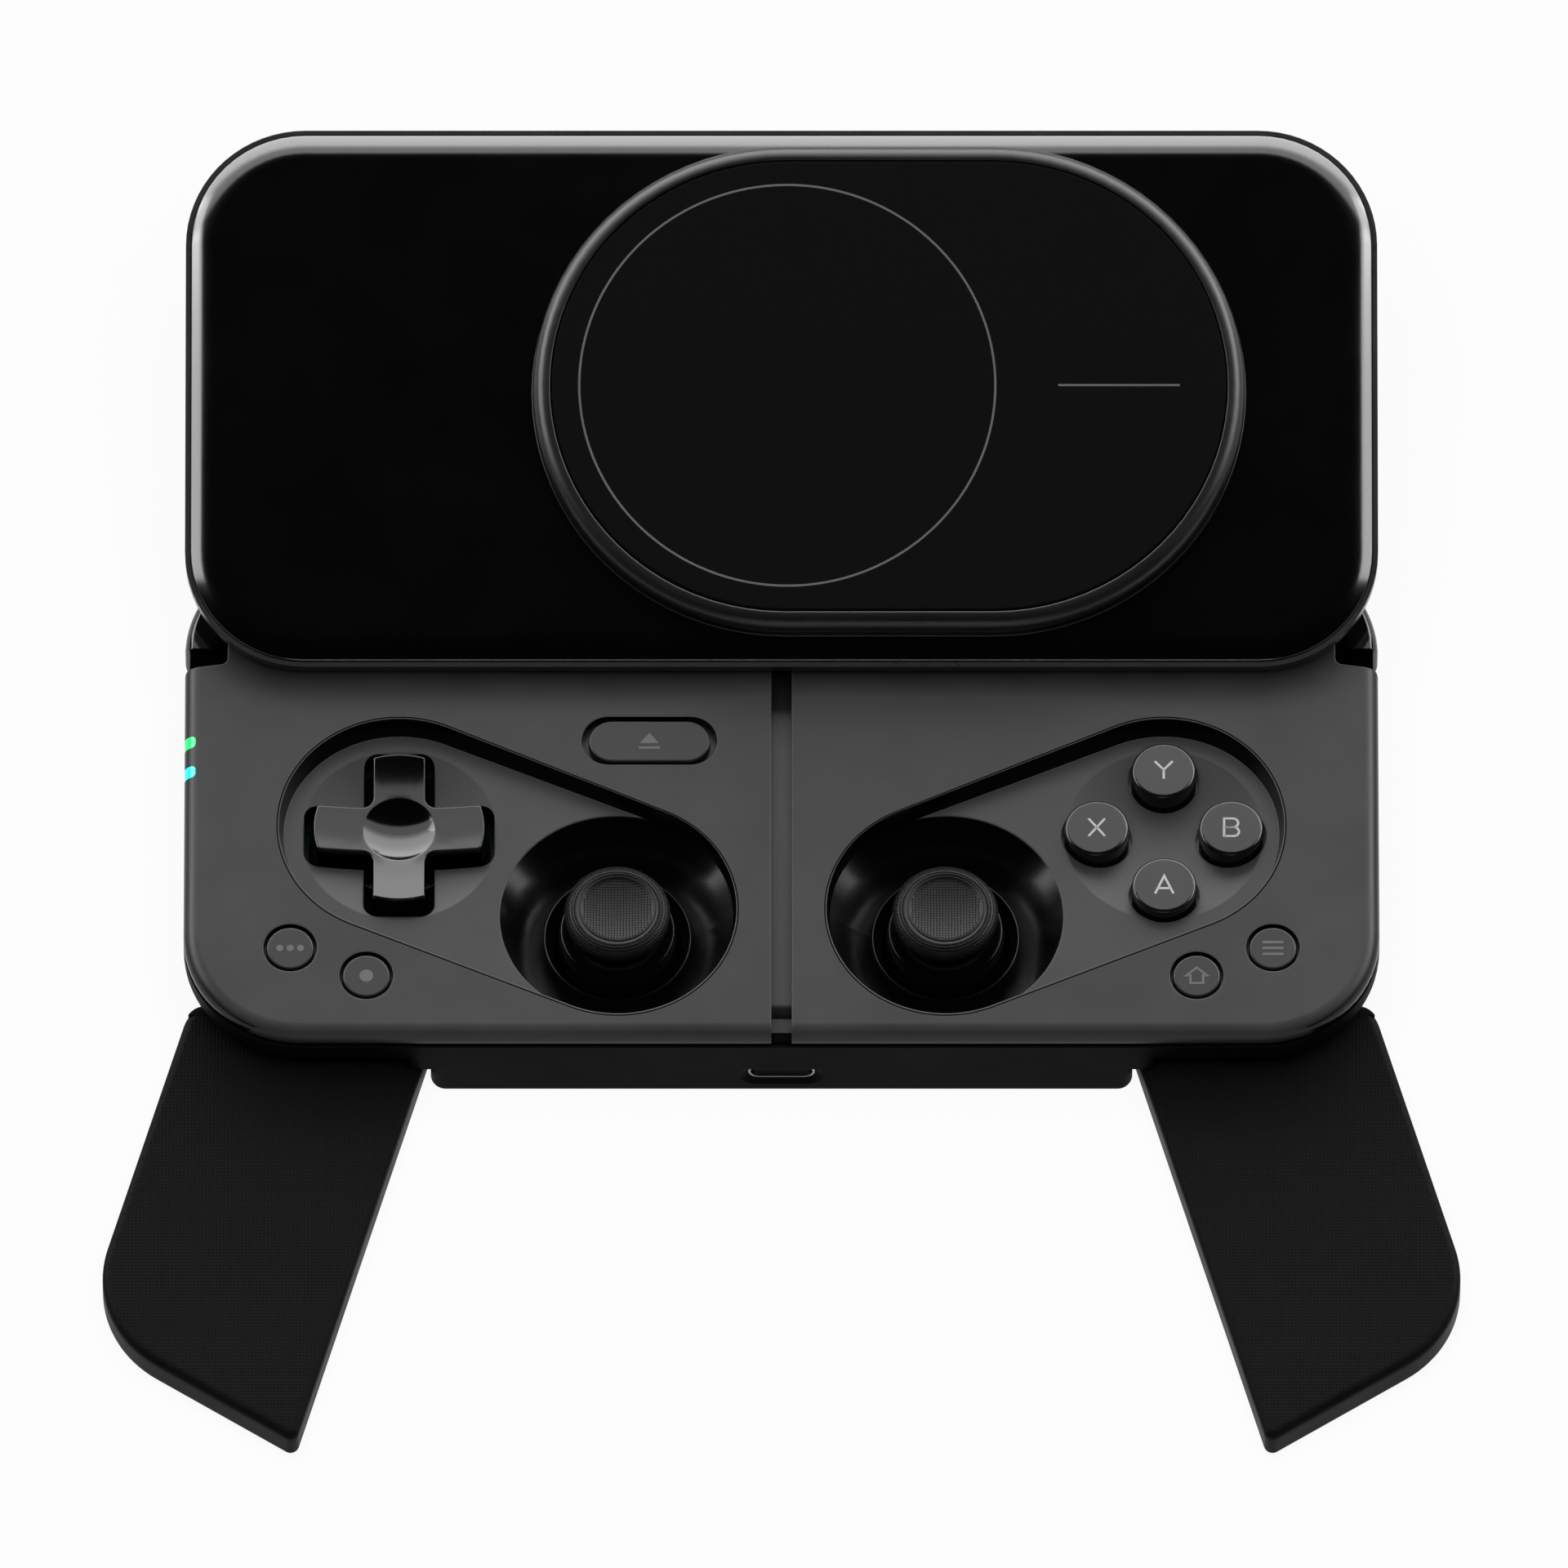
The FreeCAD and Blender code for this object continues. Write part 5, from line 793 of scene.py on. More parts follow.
# %% Marks on the puck
LID_LEAN = math.radians(13.3)
lid_up = Vector((0, -math.sin(LID_LEAN), math.cos(LID_LEAN)))
print_ring = finish(
    "print_ring", screen(88), 0.55, specular=0.2, cloud=0.06, grain=0.1, depth=1.0, wear_and_highlight=0.0, edge=0.05,
)
PUCK_MIDDLE = 14.4
RING_X = 0.77
RING_RADIUS = 27.9
DASH_START = 37.1
DASH_END = 53.4
MARK_STROKE = 0.3
ring_line = arc(RING_X - PUCK_MIDDLE, 0, RING_RADIUS, 0, 360, 240)[:-1]
dash_line = [(x - PUCK_MIDDLE, 0) for x in (DASH_START, DASH_END)]
points, faces = ink([(ring_line, True), (dash_line, False)], MARK_STROKE)
marks = piece("puck_marks", points, faces, print_ring, top_frame("puck_pad", lid_up))
seat(marks, "lid")
print("puck marks", len(faces), "faces")

# %% [markdown]
# The lid's top is a plate of black glass whose edge rolls over softly, which is what draws the broad
# bright band along its far side. A machined fillet is too tight for that, so the plate is lofted here:
# rings of the same rounded outline, each a little further in and higher, along a parabola 3.6 millimetres
# wide that ends in a small round.


# %% Lid plate
def rounded_ring(half_x, y0, y1, radius, inset, z, steps=14):
    """Points of a rounded rectangle, pulled in by inset, counter-clockwise."""
    radius = max(0.3, radius - inset)
    x = half_x - inset - radius
    low = y0 + inset + radius
    high = y1 - inset - radius
    corners = ((x, low, -90), (x, high, 0), (-x, high, 90), (-x, low, 180))
    points = []
    for middle_x, middle_y, turn in corners:
        points += [(px, py, z) for px, py in arc(middle_x, middle_y, radius, turn, turn + 90, steps)]
    return points


def band(a, b, count):
    """Faces between two rings of points, whose numbers start at a and b."""
    return [(a + i, a + (i + 1) % count, b + (i + 1) % count, b + i) for i in range(count)]


def loft(rings):
    """Points and faces of a body of rings of equal length, closed at both ends."""
    count = len(rings[0])
    points = [point for ring in rings for point in ring]
    faces = []
    for start in range(0, len(points) - count, count):
        faces += band(start, start + count, count)
    faces.append(tuple(reversed(range(count))))
    faces.append(tuple(range(len(points) - count, len(points))))
    return points, faces


PLATE_GAP = 0.77
LID_HALF = 80.0 - PLATE_GAP
LID_LOW = PLATE_GAP
LID_HIGH = 74.7 - PLATE_GAP
LID_ROUND = 16.0 - PLATE_GAP
ROLL_WIDE = 3.6
ROLL_TALL = 1.08
ROLL_STEPS = 18
END_ROUND = 0.12
PLATE_TOP = 4.0
low_end = PLATE_TOP - ROLL_TALL
outline = [(5.0, 2.75), (5.0, 2.32), (0.0, 2.32), (0.0, low_end - END_ROUND)]
outline += arc(END_ROUND, low_end - END_ROUND, END_ROUND, 180, 122, 5)[1:]
for i in range(1, ROLL_STEPS + 1):
    share = (i / ROLL_STEPS) ** 1.3
    inset = END_ROUND * 0.5 + (ROLL_WIDE - END_ROUND * 0.5) * share
    outline.append((inset, PLATE_TOP - ROLL_TALL * (1 - share) ** 2))
rings = [rounded_ring(LID_HALF, LID_LOW, LID_HIGH, LID_ROUND, inset, z) for inset, z in outline]
points, faces = loft(rings)
lid_shift = Vector((0, -(LID_LOW + LID_HIGH) / 2, -PLATE_TOP)) * MM
lid_place = top_frame("lid_plate", lid_up) @ Matrix.Translation(lid_shift)
lid_top = piece("lid_top", points, faces, lid_gloss, lid_place, smooth=True)
seat(lid_top, "lid")
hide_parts("lid_plate")
print("lid top", len(faces), "faces, at", [round(v, 5) for v in lid_place.translation])

# %% [markdown]
# The puck is lofted in the same way from round-ended rings: a small foot where it meets the lid, an
# upright wall, a wide roll, and the pocket that the matte pad lies in.

# %% Puck
PUCK_HALF = 95.6 / 2
PUCK_RADIUS = 67.5 / 2
PUCK_UP = 37.7
FOOT = 0.15
FOOT_END = PLATE_TOP + 0.02 + FOOT
PUCK_TOP = 7.9
PUCK_ROLL = 2.1


def stadium_ring(inset, z, steps=40):
    """Points of a round-ended ring, pulled in by inset, counter-clockwise."""
    reach = PUCK_HALF - PUCK_RADIUS
    radius = PUCK_RADIUS - inset
    right = arc(PUCK_MIDDLE + reach, PUCK_UP, radius, -90, 90, steps)
    left = arc(PUCK_MIDDLE - reach, PUCK_UP, radius, 90, 270, steps)
    return [(x, y, z) for x, y in right + left]


outline = [(3.0, PLATE_TOP), (-FOOT, PLATE_TOP)]
outline += arc(-FOOT, FOOT_END, FOOT, -90, 0, 4)[1:]
outline += arc(PUCK_ROLL, PUCK_TOP - PUCK_ROLL, PUCK_ROLL, 180, 90, 12)
pocket = ((2.2, 0.01), (2.3, 0.05), (2.36, 0.2), (2.4, 0.98))
outline += [(inset, PUCK_TOP - depth) for inset, depth in pocket]
points, faces = loft([stadium_ring(inset, z) for inset, z in outline])
puck = piece("puck_body", points, faces, puck_grey, lid_place, smooth=True)
seat(puck, "lid")
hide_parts("magnet_puck")
print("puck", len(faces), "faces")

# %% [markdown]
# Each stick cap is a turned rubber knob: a knurled grip round its edge, a raised ring, and a shallow dish
# with a fine weave on top. The knob is a lathe profile, turned round the stick's axis. The knurl and the
# weave repeat hundreds of times, so Geometry Nodes scatter a small pyramid in rows over the rounded rim,
# and on a grid laid into the dish.

# %% Stick knob
CAP_TOP = 2.2
DISH_RADIUS = 4.88
DISH_DEPTH = 0.55
DISH_BALL = (DISH_RADIUS**2 + DISH_DEPTH**2) / (2 * DISH_DEPTH)
DOME_BALL = 8.705
UNDER_RADIUS = 5.43
PIVOT = -8.0
RIM_MIDDLE = 5.55
RIM_HEIGHT = 0.6
RIM_ROUND = 1.48
DISH_TOP = 1.92


def knob_profile():
    """Radius and height round the knob, from the middle of its underside to the middle of its dish."""
    line = []
    for i in range(7):
        radius = UNDER_RADIUS * i / 6
        line.append((radius, PIVOT + math.sqrt(DOME_BALL**2 - radius**2)))
    line += [(5.75, -1.2), (6.0, -1.12), (6.2, -0.9), (6.45, -0.6)]
    line += arc(RIM_MIDDLE, RIM_HEIGHT, RIM_ROUND, -32, 102, 14)
    line += [(5.18, 1.94), (5.12, 1.92), (5.08, 2.04), (5.02, 2.1), (4.95, 2.08), (DISH_RADIUS, DISH_TOP)]
    for i in range(1, 9):
        radius = DISH_RADIUS * (1 - i / 8)
        line.append((radius, DISH_TOP - DISH_DEPTH + DISH_BALL - math.sqrt(DISH_BALL**2 - radius**2)))
    return line


def full_turn(sides):
    """Angles of a full turn in even steps."""
    return [2 * math.pi * i / sides for i in range(sides)]


def ring_points(line, sides):
    """Points of a profile turned round the Z axis, ring after ring."""
    return [(r * math.cos(turn), r * math.sin(turn), z) for r, z in line for turn in full_turn(sides)]


def lathe(line, sides):
    """Points and faces of a profile turned round the Z axis, with its ends closed at the axis."""
    points = [(0, 0, line[0][1])] + ring_points(line[1:-1], sides) + [(0, 0, line[-1][1])]
    faces = [(0, 1 + (i + 1) % sides, 1 + i) for i in range(sides)]
    for level in range(len(line) - 3):
        a = 1 + level * sides
        faces += band(a, a + sides, sides)
    last = len(points) - 1
    a = last - sides
    faces += [(a + i, a + (i + 1) % sides, last) for i in range(sides)]
    return points, faces


knob_points, knob_faces = lathe(knob_profile(), 96)
print("knob", len(knob_faces), "faces")


# %% Knurl and weave trees
def scatter(group, points, size):
    """Put a small four-sided pyramid on every point of a tree."""
    shape = {"Vertices": 4, "Radius Bottom": 0.7, "Radius Top": 0.15, "Depth": 1.0}
    stud = add(group, "GeometryNodeMeshCone", shape, fill_type="NONE")
    copies = {"Points": points, "Instance": stud.outputs[0], "Scale": size}
    return add(group, "GeometryNodeInstanceOnPoints", copies)


def weave_tree():
    """Studs on a square grid that is cut to a disc and laid into a dish."""
    inputs = [("Span", "Float", 0.01), ("Pitch", "Float", 0.00024), ("Radius", "Float", 0.0046)]
    inputs += [("Ball", "Float", 0.02), ("Low", "Float", 0.0), ("Stud", "Vector", (1, 1, 1))]
    group, begin, end = start_tree("dish_weave", inputs)
    span = begin.outputs["Span"]
    ball = begin.outputs["Ball"]
    lines = math_node(group, "DIVIDE", span, begin.outputs["Pitch"])
    sizes = {"Vertices X": lines, "Vertices Y": lines, "Size X": span, "Size Y": span}
    grid = add(group, "GeometryNodeMeshGrid", sizes)
    position = add(group, "GeometryNodeInputPosition")
    reach = add(group, "ShaderNodeVectorMath", {0: position.outputs[0]}, operation="LENGTH")
    reach = reach.outputs["Value"]
    limits = {0: reach, 1: begin.outputs["Radius"]}
    outside = add(group, "FunctionNodeCompare", limits, operation="GREATER_THAN")
    kept = add(group, "GeometryNodeDeleteGeometry", {0: grid.outputs[0], 1: outside.outputs[0]})
    squares = [math_node(group, "MULTIPLY", length, length) for length in (ball, reach)]
    fall = math_node(group, "SQRT", math_node(group, "SUBTRACT", *squares))
    height = math_node(group, "ADD", begin.outputs["Low"], math_node(group, "SUBTRACT", ball, fall))
    lift = add(group, "ShaderNodeCombineXYZ", {2: height})
    dished = add(group, "GeometryNodeSetPosition", {0: kept.outputs[0], "Offset": lift.outputs[0]})
    studs = scatter(group, dished.outputs[0], begin.outputs["Stud"])
    finish_tree(group, studs.outputs[0], end, cap_rubber)
    return group


KNURL_STAGGER = 0.036
KNURL_SPAN = math.radians(112)
KNURL_MIDDLE = math.radians(28)


def knurl_tree():
    """Studs in rows over a rounded rim, each row turned a little further than the last."""
    inputs = [("Around", "Int", 110), ("Rows", "Int", 8), ("Middle", "Float", 0.0055)]
    inputs += [("Round", "Float", 0.0015), ("Height", "Float", 0.0006), ("Stud", "Vector", (1, 1, 1))]
    group, begin, end = start_tree("knurl", inputs)
    around = begin.outputs["Around"]
    sizes = {"Vertices X": around, "Vertices Y": begin.outputs["Rows"], "Size X": 1.0, "Size Y": 1.0}
    grid = add(group, "GeometryNodeMeshGrid", sizes)
    position = add(group, "GeometryNodeInputPosition")
    split = add(group, "ShaderNodeSeparateXYZ", {0: position.outputs[0]})
    steps = math_node(group, "SUBTRACT", around, 1.0)
    whole = math_node(group, "MULTIPLY", math_node(group, "ADD", split.outputs[0], 0.5), steps)
    part = math_node(group, "DIVIDE", whole, around)
    stagger = math_node(group, "MULTIPLY", split.outputs[1], KNURL_STAGGER)
    turn = math_node(group, "MULTIPLY", math_node(group, "ADD", part, stagger), 2 * math.pi)
    over = math_node(group, "MULTIPLY", split.outputs[1], KNURL_SPAN)
    slope = math_node(group, "ADD", over, KNURL_MIDDLE)
    side = math_node(group, "COSINE", slope)
    lift = math_node(group, "SINE", slope)
    offsets = [math_node(group, "MULTIPLY", share, begin.outputs["Round"]) for share in (side, lift)]
    out_by = math_node(group, "ADD", begin.outputs["Middle"], offsets[0])
    up_by = math_node(group, "ADD", begin.outputs["Height"], offsets[1])
    spot = add(group, "ShaderNodeCombineXYZ", {2: up_by})
    outward = add(group, "ShaderNodeCombineXYZ", {2: lift})
    for i, operation in enumerate(("COSINE", "SINE")):
        wave = math_node(group, operation, turn)
        link(group, math_node(group, "MULTIPLY", wave, out_by), spot.inputs[i])
        link(group, math_node(group, "MULTIPLY", wave, side), outward.inputs[i])
    placed = add(group, "GeometryNodeSetPosition", {0: grid.outputs[0], "Position": spot.outputs[0]})
    aligned = add(group, "FunctionNodeAlignRotationToVector", {"Vector": outward.outputs[0]}, axis="Z")
    studs = scatter(group, placed.outputs[0], begin.outputs["Stud"])
    link(group, aligned.outputs[0], studs.inputs["Rotation"])
    finish_tree(group, studs.outputs[0], end, cap_rubber)
    return group


weave = weave_tree()
knurl = knurl_tree()
print("trees", weave.name, knurl.name)

# %% [markdown]
# The three meshes of a knob are joined into one piece for each stick, so that it moves as one and
# replaces one node.


# %% Stick caps
def join(name, objects):
    """Join meshes that all lie at the origin into one object."""
    chosen = {
        "active_object": objects[0], "selected_objects": objects, "selected_editable_objects": objects,
    }
    with bpy.context.temp_override(**chosen):
        bpy.ops.object.join()
    objects[0].name = name
    return objects[0]


def cap_place(side):
    """The frame of a stick cap, with its origin at the stick's own zero height."""
    return top_frame(f"{side}_stick_cap", floor_up) @ Matrix.Translation(Vector((0, 0, -CAP_TOP)) * MM)


weave_sizes = {
    "Span": 9.6 * MM,
    "Pitch": 0.38 * MM,
    "Radius": 4.7 * MM,
    "Ball": DISH_BALL * MM,
    "Low": (DISH_TOP - DISH_DEPTH + 0.02) * MM,
    "Stud": [0.21 * MM, 0.21 * MM, 0.12 * MM],
}
knurl_sizes = {
    "Around": 112,
    "Rows": 8,
    "Middle": RIM_MIDDLE * MM,
    "Round": RIM_ROUND * MM,
    "Height": RIM_HEIGHT * MM,
    "Stud": [0.22 * MM, 0.22 * MM, 0.24 * MM],
}
for side in ("left", "right"):
    place = cap_place(side)
    knob = piece(f"{side}_knob", knob_points, knob_faces, cap_rubber, place, smooth=True)
    woven = run_tree(f"{side}_weave", weave, weave_sizes, place)
    ridged = run_tree(f"{side}_knurl", knurl, knurl_sizes, place)
    knob = join(f"{side}_knob", [knob, woven, ridged])
    seat(knob, f"{side}_stick_top")
    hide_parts(f"{side}_stick_cap")
    print(knob.name, len(knob.data.polygons), "faces")

# %% [markdown]
# The direction pad is a cross with a shallow bowl in its middle. Gloss black shows every facet, so the
# pad is drawn again here with smooth rings. They start at the foot of its walls, go over a small round,
# run inwards along the dished arms and end in the bowl, and each ring is the same cross or circle with
# the same number of points.

# %% Direction pad
ARM_TOP = 3.4
END_TOP = 11.4
INNER_BEND = 1.6
PAD_DRAFT = 0.35
PAD_LOW = 1.3
PAD_BALL = (11.75**2 + 1.0) / 2.0
BOWL_EDGE = 4.85
BOWL_DEPTH = 1.1
BOWL_BALL = (BOWL_EDGE**2 + BOWL_DEPTH**2) / (2 * BOWL_DEPTH)
PAD_EDGE = 0.2
PAD_FOOT = -2.4
NECK_DROP = 0.06
ARM_NECK = 0.06
END_NECK = 0.04
ARM_EDGE = 0.05
END_EDGE = 0.03
CORNER_GAP = 0.12
CORNER_TURN = 0.6


def pad_height(radius):
    """Height of the top at a distance from the middle: one sphere outside, a deeper one in the bowl."""
    dished = PAD_LOW + PAD_BALL - math.sqrt(PAD_BALL**2 - radius**2)
    if radius >= BOWL_EDGE:
        return dished
    rim = PAD_LOW + PAD_BALL - math.sqrt(PAD_BALL**2 - BOWL_EDGE**2)
    return rim - BOWL_DEPTH + BOWL_BALL - math.sqrt(BOWL_BALL**2 - radius**2)


def cross_line(arm, reach, bend):
    """Points round a cross with arc ends, counter-clockwise from the bend beside its right arm."""
    quarter = arc(arm + bend, arm + bend, bend, 270, 180, 8)
    end = math.degrees(math.acos(arm / reach))
    top = math.sqrt(reach**2 - arm**2)
    quarter += [(arm, arm + bend + (top - CORNER_GAP - arm - bend) * i / 8) for i in range(1, 9)]
    quarter += arc(0, 0, reach, end + CORNER_TURN, 180 - CORNER_TURN - end, 14)
    quarter += [(-x, y) for x, y in reversed(quarter[9:17])]
    line = []
    for turn in range(4):
        c, s = ((1, 0), (0, 1), (-1, 0), (0, -1))[turn]
        line += [(x * c - y * s, x * s + y * c) for x, y in quarter]
    return line


foot = cross_line(ARM_TOP + PAD_DRAFT, END_TOP + PAD_DRAFT, INNER_BEND)
neck = cross_line(ARM_TOP + ARM_NECK, END_TOP + END_NECK, INNER_BEND)
rings = [[(x, y, PAD_FOOT) for x, y in foot]]
rings.append([(x, y, pad_height(math.hypot(x, y)) - PAD_EDGE - NECK_DROP) for x, y in neck])
for i in range(5):
    turn = math.radians(90 * i / 4)
    inset = PAD_EDGE * (1 - math.cos(turn))
    drop = PAD_EDGE * (1 - math.sin(turn))
    edge_line = cross_line(ARM_TOP + ARM_EDGE - inset, END_TOP + END_EDGE - inset, INNER_BEND + inset)
    rings.append([(x, y, pad_height(math.hypot(x, y)) - drop) for x, y in edge_line])
top_line = [(x, y) for x, y, z in rings[-1]]
ARM_SHARES = (0.01, 0.3, 0.6, 0.85, 1.0)
BOWL_RADII = (4.84, 4.76, 4.4, 4.0, 3.4, 2.8, 2.2, 1.6, 1.0, 0.5, 0.1)


def pulled_in(radii):
    """The ring of the pad's top with each point pulled in to its own radius, on the dished surface."""
    ring = []
    for (x, y), radius in zip(top_line, radii):
        far = math.hypot(x, y)
        ring.append((x * radius / far, y * radius / far, pad_height(radius)))
    return ring


fars = [math.hypot(x, y) for x, y in top_line]
nears = [min(BOWL_EDGE + 0.05, far - 0.04) for far in fars]
for share in ARM_SHARES:
    rings.append(pulled_in([far + (near - far) * share for far, near in zip(fars, nears)]))
for radius in BOWL_RADII:
    rings.append(pulled_in([min(radius, far - 0.06) for far in fars]))
points, faces = loft(rings)
pad_frame = Matrix((Vector((1, 0, 0)), floor_back, floor_up)).transposed().to_4x4()
pad_frame = Matrix.Translation(Vector((-PAD_X, PAD_Y, FLOOR_POINT.z / MM)) * MM) @ pad_frame
pad_top = piece("pad_cross", points, faces, pad_gloss, pad_frame, smooth=True)
flange_line = [(0, -3.7), (7.5, -3.7), (7.5, -3.2), (3.3, -3.2), (3.3, -2.35), (0, -2.35)]
points, faces = lathe(flange_line, 64)
flange = piece("pad_flange", points, faces, pad_gloss, pad_frame)
pad_top = join("pad_cross", [pad_top, flange])
seat(pad_top, "dpad")
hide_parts("dpad")
print("direction pad", len(pad_top.data.polygons), "faces")

# %% [markdown]
# A thin lip runs round each dome where its cover ends, and another round the mouth of each well. Both are
# plain rings of round section. On gloss black such a ring always has a line that mirrors the panel, which
# is what is seen.

# %% Lips
DOME_LIP = {"radius": 7.5, "height": -3.6, "tube": 0.1}
WELL_LIP = {"radius": 9.75, "height": -5.55, "tube": 0.11}
LIP_SIDES = 120


def ring_piece(name, made, place, radius, height, tube):
    """A ring of round section."""
    section = arc(radius, height, tube, 0, 315, 7)
    faces = []
    for level in range(len(section)):
        faces += band(level * LIP_SIDES, (level + 1) % len(section) * LIP_SIDES, LIP_SIDES)
    return piece(name, ring_points(section, LIP_SIDES), faces, made, place, smooth=True)


for side in ("left", "right"):
    place = cap_place(side)
    dome_lip = ring_piece(f"{side}_dome_lip", dome_black, place, **DOME_LIP)
    seat(dome_lip, f"{side}_stick_top")
    well_lip = ring_piece(f"{side}_well_lip", bumper_gloss, place, **WELL_LIP)
    seat(well_lip, "base")
    print(dome_lip.name, well_lip.name, len(well_lip.data.polygons), "faces each")

# %% [markdown]
# The grips have a skin of small square studs in rows. Geometry Nodes lays a grid over each pad, drops
# every point onto it with a raycast, keeps those that land on the flat top, and puts a stud there. A bump
# map would be lighter, but the studs also show on the outline.


# %% Grip skin
def skin_tree():
    """Studs on a flat grid that is dropped onto the mesh that the tree runs on."""
    inputs = [("Lines X", "Int", 100), ("Lines Y", "Int", 150), ("Span", "Vector", (0.05, 0.07, 0))]
    inputs += [("Middle", "Vector", (0, 0, 0)), ("Stud", "Vector", (1, 1, 1))]
    group, begin, end = start_tree("grip_skin", inputs)
    size = add(group, "ShaderNodeSeparateXYZ", {0: begin.outputs["Span"]})
    sizes = {"Size X": size.outputs[0], "Size Y": size.outputs[1]}
    sizes |= {"Vertices X": begin.outputs["Lines X"], "Vertices Y": begin.outputs["Lines Y"]}
    grid = add(group, "GeometryNodeMeshGrid", sizes)
    shift = {"Geometry": grid.outputs[0], "Translation": begin.outputs["Middle"]}
    moved = add(group, "GeometryNodeTransform", shift)
    ray = {"Target Geometry": begin.outputs["Geometry"], "Ray Direction": (0, 0, -1), "Ray Length": 0.05}
    drop = add(group, "GeometryNodeRaycast", ray)
    tilt = add(group, "ShaderNodeSeparateXYZ", {0: drop.outputs["Hit Normal"]})
    flat = math_node(group, "GREATER_THAN", tilt.outputs[2], 0.97)
    missed = math_node(group, "SUBTRACT", 1.0, math_node(group, "MULTIPLY", flat, drop.outputs["Is Hit"]))
    spots = {0: moved.outputs[0], "Position": drop.outputs["Hit Position"]}
    landed = add(group, "GeometryNodeSetPosition", spots)
    kept = add(group, "GeometryNodeDeleteGeometry", {0: landed.outputs[0], 1: missed})
    studs = scatter(group, kept.outputs[0], begin.outputs["Stud"])
    studs.inputs["Rotation"].default_value = (0, 0, math.radians(45))
    finish_tree(group, studs.outputs[0], end, grip_skin)
    return group


skin = skin_tree()
SKIN_PITCH = 0.48
DROP_FROM = 2
for side in ("left", "right"):
    pad = nodes[f"{side}_grip_pad"].data.copy()
    corners = [[vertex.co[i] for vertex in pad.vertices] for i in range(3)]
    span = [max(values) - min(values) for values in corners]
    middle = [(max(values) + min(values)) / 2 for values in corners]
    settings = {
        "Lines X": int(span[0] / (SKIN_PITCH * MM)),
        "Lines Y": int(span[1] / (SKIN_PITCH * MM)),
        "Span": [span[0], span[1], 0],
        "Middle": [middle[0], middle[1], max(corners[2]) + DROP_FROM * MM],
        "Stud": [0.27 * MM, 0.27 * MM, 0.09 * MM],
    }
    studs = run_tree(f"{side}_grip_studs", skin, settings, Matrix.Identity(4), start=pad)
    seat(studs, f"{side}_grip")
    print(studs.name, len(studs.data.polygons), "faces")

# %% [markdown]
# The return springs of the triggers and the lid's torsion springs are wound wire. The CAD model keeps
# them as plain sleeves with their legs. Here a spiral curve with a round section makes the coil, and
# straight wires make its legs. A wire lies in a frame whose right direction is level, and an upright wire
# has no such frame. So the trigger springs' feet and the lid springs' legs, which are upright, come out
# as lines without thickness.


# %% Coil springs
def coil_tree():
    """A spiral of round wire with closed ends."""
    inputs = [("Turns", "Float", 6.0), ("Radius", "Float", 0.001), ("Length", "Float", 0.004)]
    inputs += [("Wire", "Float", 0.0002)]
    group, begin, end = start_tree("coil", inputs)
    sources = {"Rotations": "Turns", "Start Radius": "Radius", "End Radius": "Radius", "Height": "Length"}
    sizes = {name: begin.outputs[source] for name, source in sources.items()}
    spiral = add(group, "GeometryNodeCurveSpiral", {"Resolution": 28, **sizes})
    wire = {"Resolution": 10, "Radius": begin.outputs["Wire"]}
    section = add(group, "GeometryNodeCurvePrimitiveCircle", wire)
    curves = {"Curve": spiral.outputs[0], "Profile Curve": section.outputs[0], "Fill Caps": True}
    wound = add(group, "GeometryNodeCurveToMesh", curves)
    finish_tree(group, wound.outputs[0], end, spring_steel)
    return group


coil = coil_tree()


def axis_place(start, along):
    """A frame at a point whose up direction runs along a vector. An upright vector leaves it no width."""
    up = Vector(along).normalized()
    right = Vector((0, 0, 1)).cross(up).normalized()
    turned = Matrix((right, up.cross(right), up)).transposed().to_4x4()
    return Matrix.Translation(Vector(start) * MM) @ turned


def wound_coil(name, start, along, turns, radius, length, wire):
    """A coil in millimetres, whose axis begins at a point and runs along a vector."""
    settings = {"Turns": turns, "Radius": radius * MM, "Length": length * MM, "Wire": wire * MM}
    return run_tree(name, coil, settings, axis_place(start, along), smooth=True)


def rod(name, start, away, radius, made, sides=10):
    """A straight round wire in millimetres, from a point along a vector."""
    line = [(0, 0), (radius, 0), (radius, away.length), (0, away.length)]
    points, faces = lathe(line, sides)
    return piece(name, points, faces, made, axis_place(start, away), smooth=True)


print("coil tree", coil.name)

# %% Trigger springs
TRIGGER_LEAN = math.radians(19.7)
TRIGGER_COIL = {"turns": 6.5, "radius": 1.36, "length": 4.1, "wire": 0.24}
TRIGGER_LEG = 2.2
TRIGGER_FOOT = 1.1
FOOT_LIFT = 1.3
TRIGGER_HINGE_X = 62.5
TRIGGER_HINGE_Y = 27.9
TRIGGER_HINGE_Z = 3.6
springs = []
for side, sign in (("left", -1), ("right", 1)):
    along = Vector((math.cos(TRIGGER_LEAN), -sign * math.sin(TRIGGER_LEAN), 0))
    hinge = Vector((sign * TRIGGER_HINGE_X, TRIGGER_HINGE_Y, TRIGGER_HINGE_Z))
    start = hinge - along * (TRIGGER_COIL["length"] / 2)
    springs.append(wound_coil(f"{side}_trigger_coil", start, along, **TRIGGER_COIL))
    back = Vector((-along.y, along.x, 0))
    top = start + Vector((0, 0, TRIGGER_COIL["radius"]))
    springs.append(rod(f"{side}_trigger_leg", top, back * TRIGGER_LEG, TRIGGER_COIL["wire"], spring_steel))
    far = start + along * TRIGGER_COIL["length"] + Vector((0, 0, FOOT_LIFT))
    foot_line = Vector((0, 0, TRIGGER_FOOT))
    springs.append(rod(f"{side}_trigger_foot", far, foot_line, TRIGGER_COIL["wire"], spring_steel))
coils = join("trigger_coils", springs)
seat(coils, "base")
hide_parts("trigger_springs")
print(coils.name, len(coils.data.polygons), "faces")

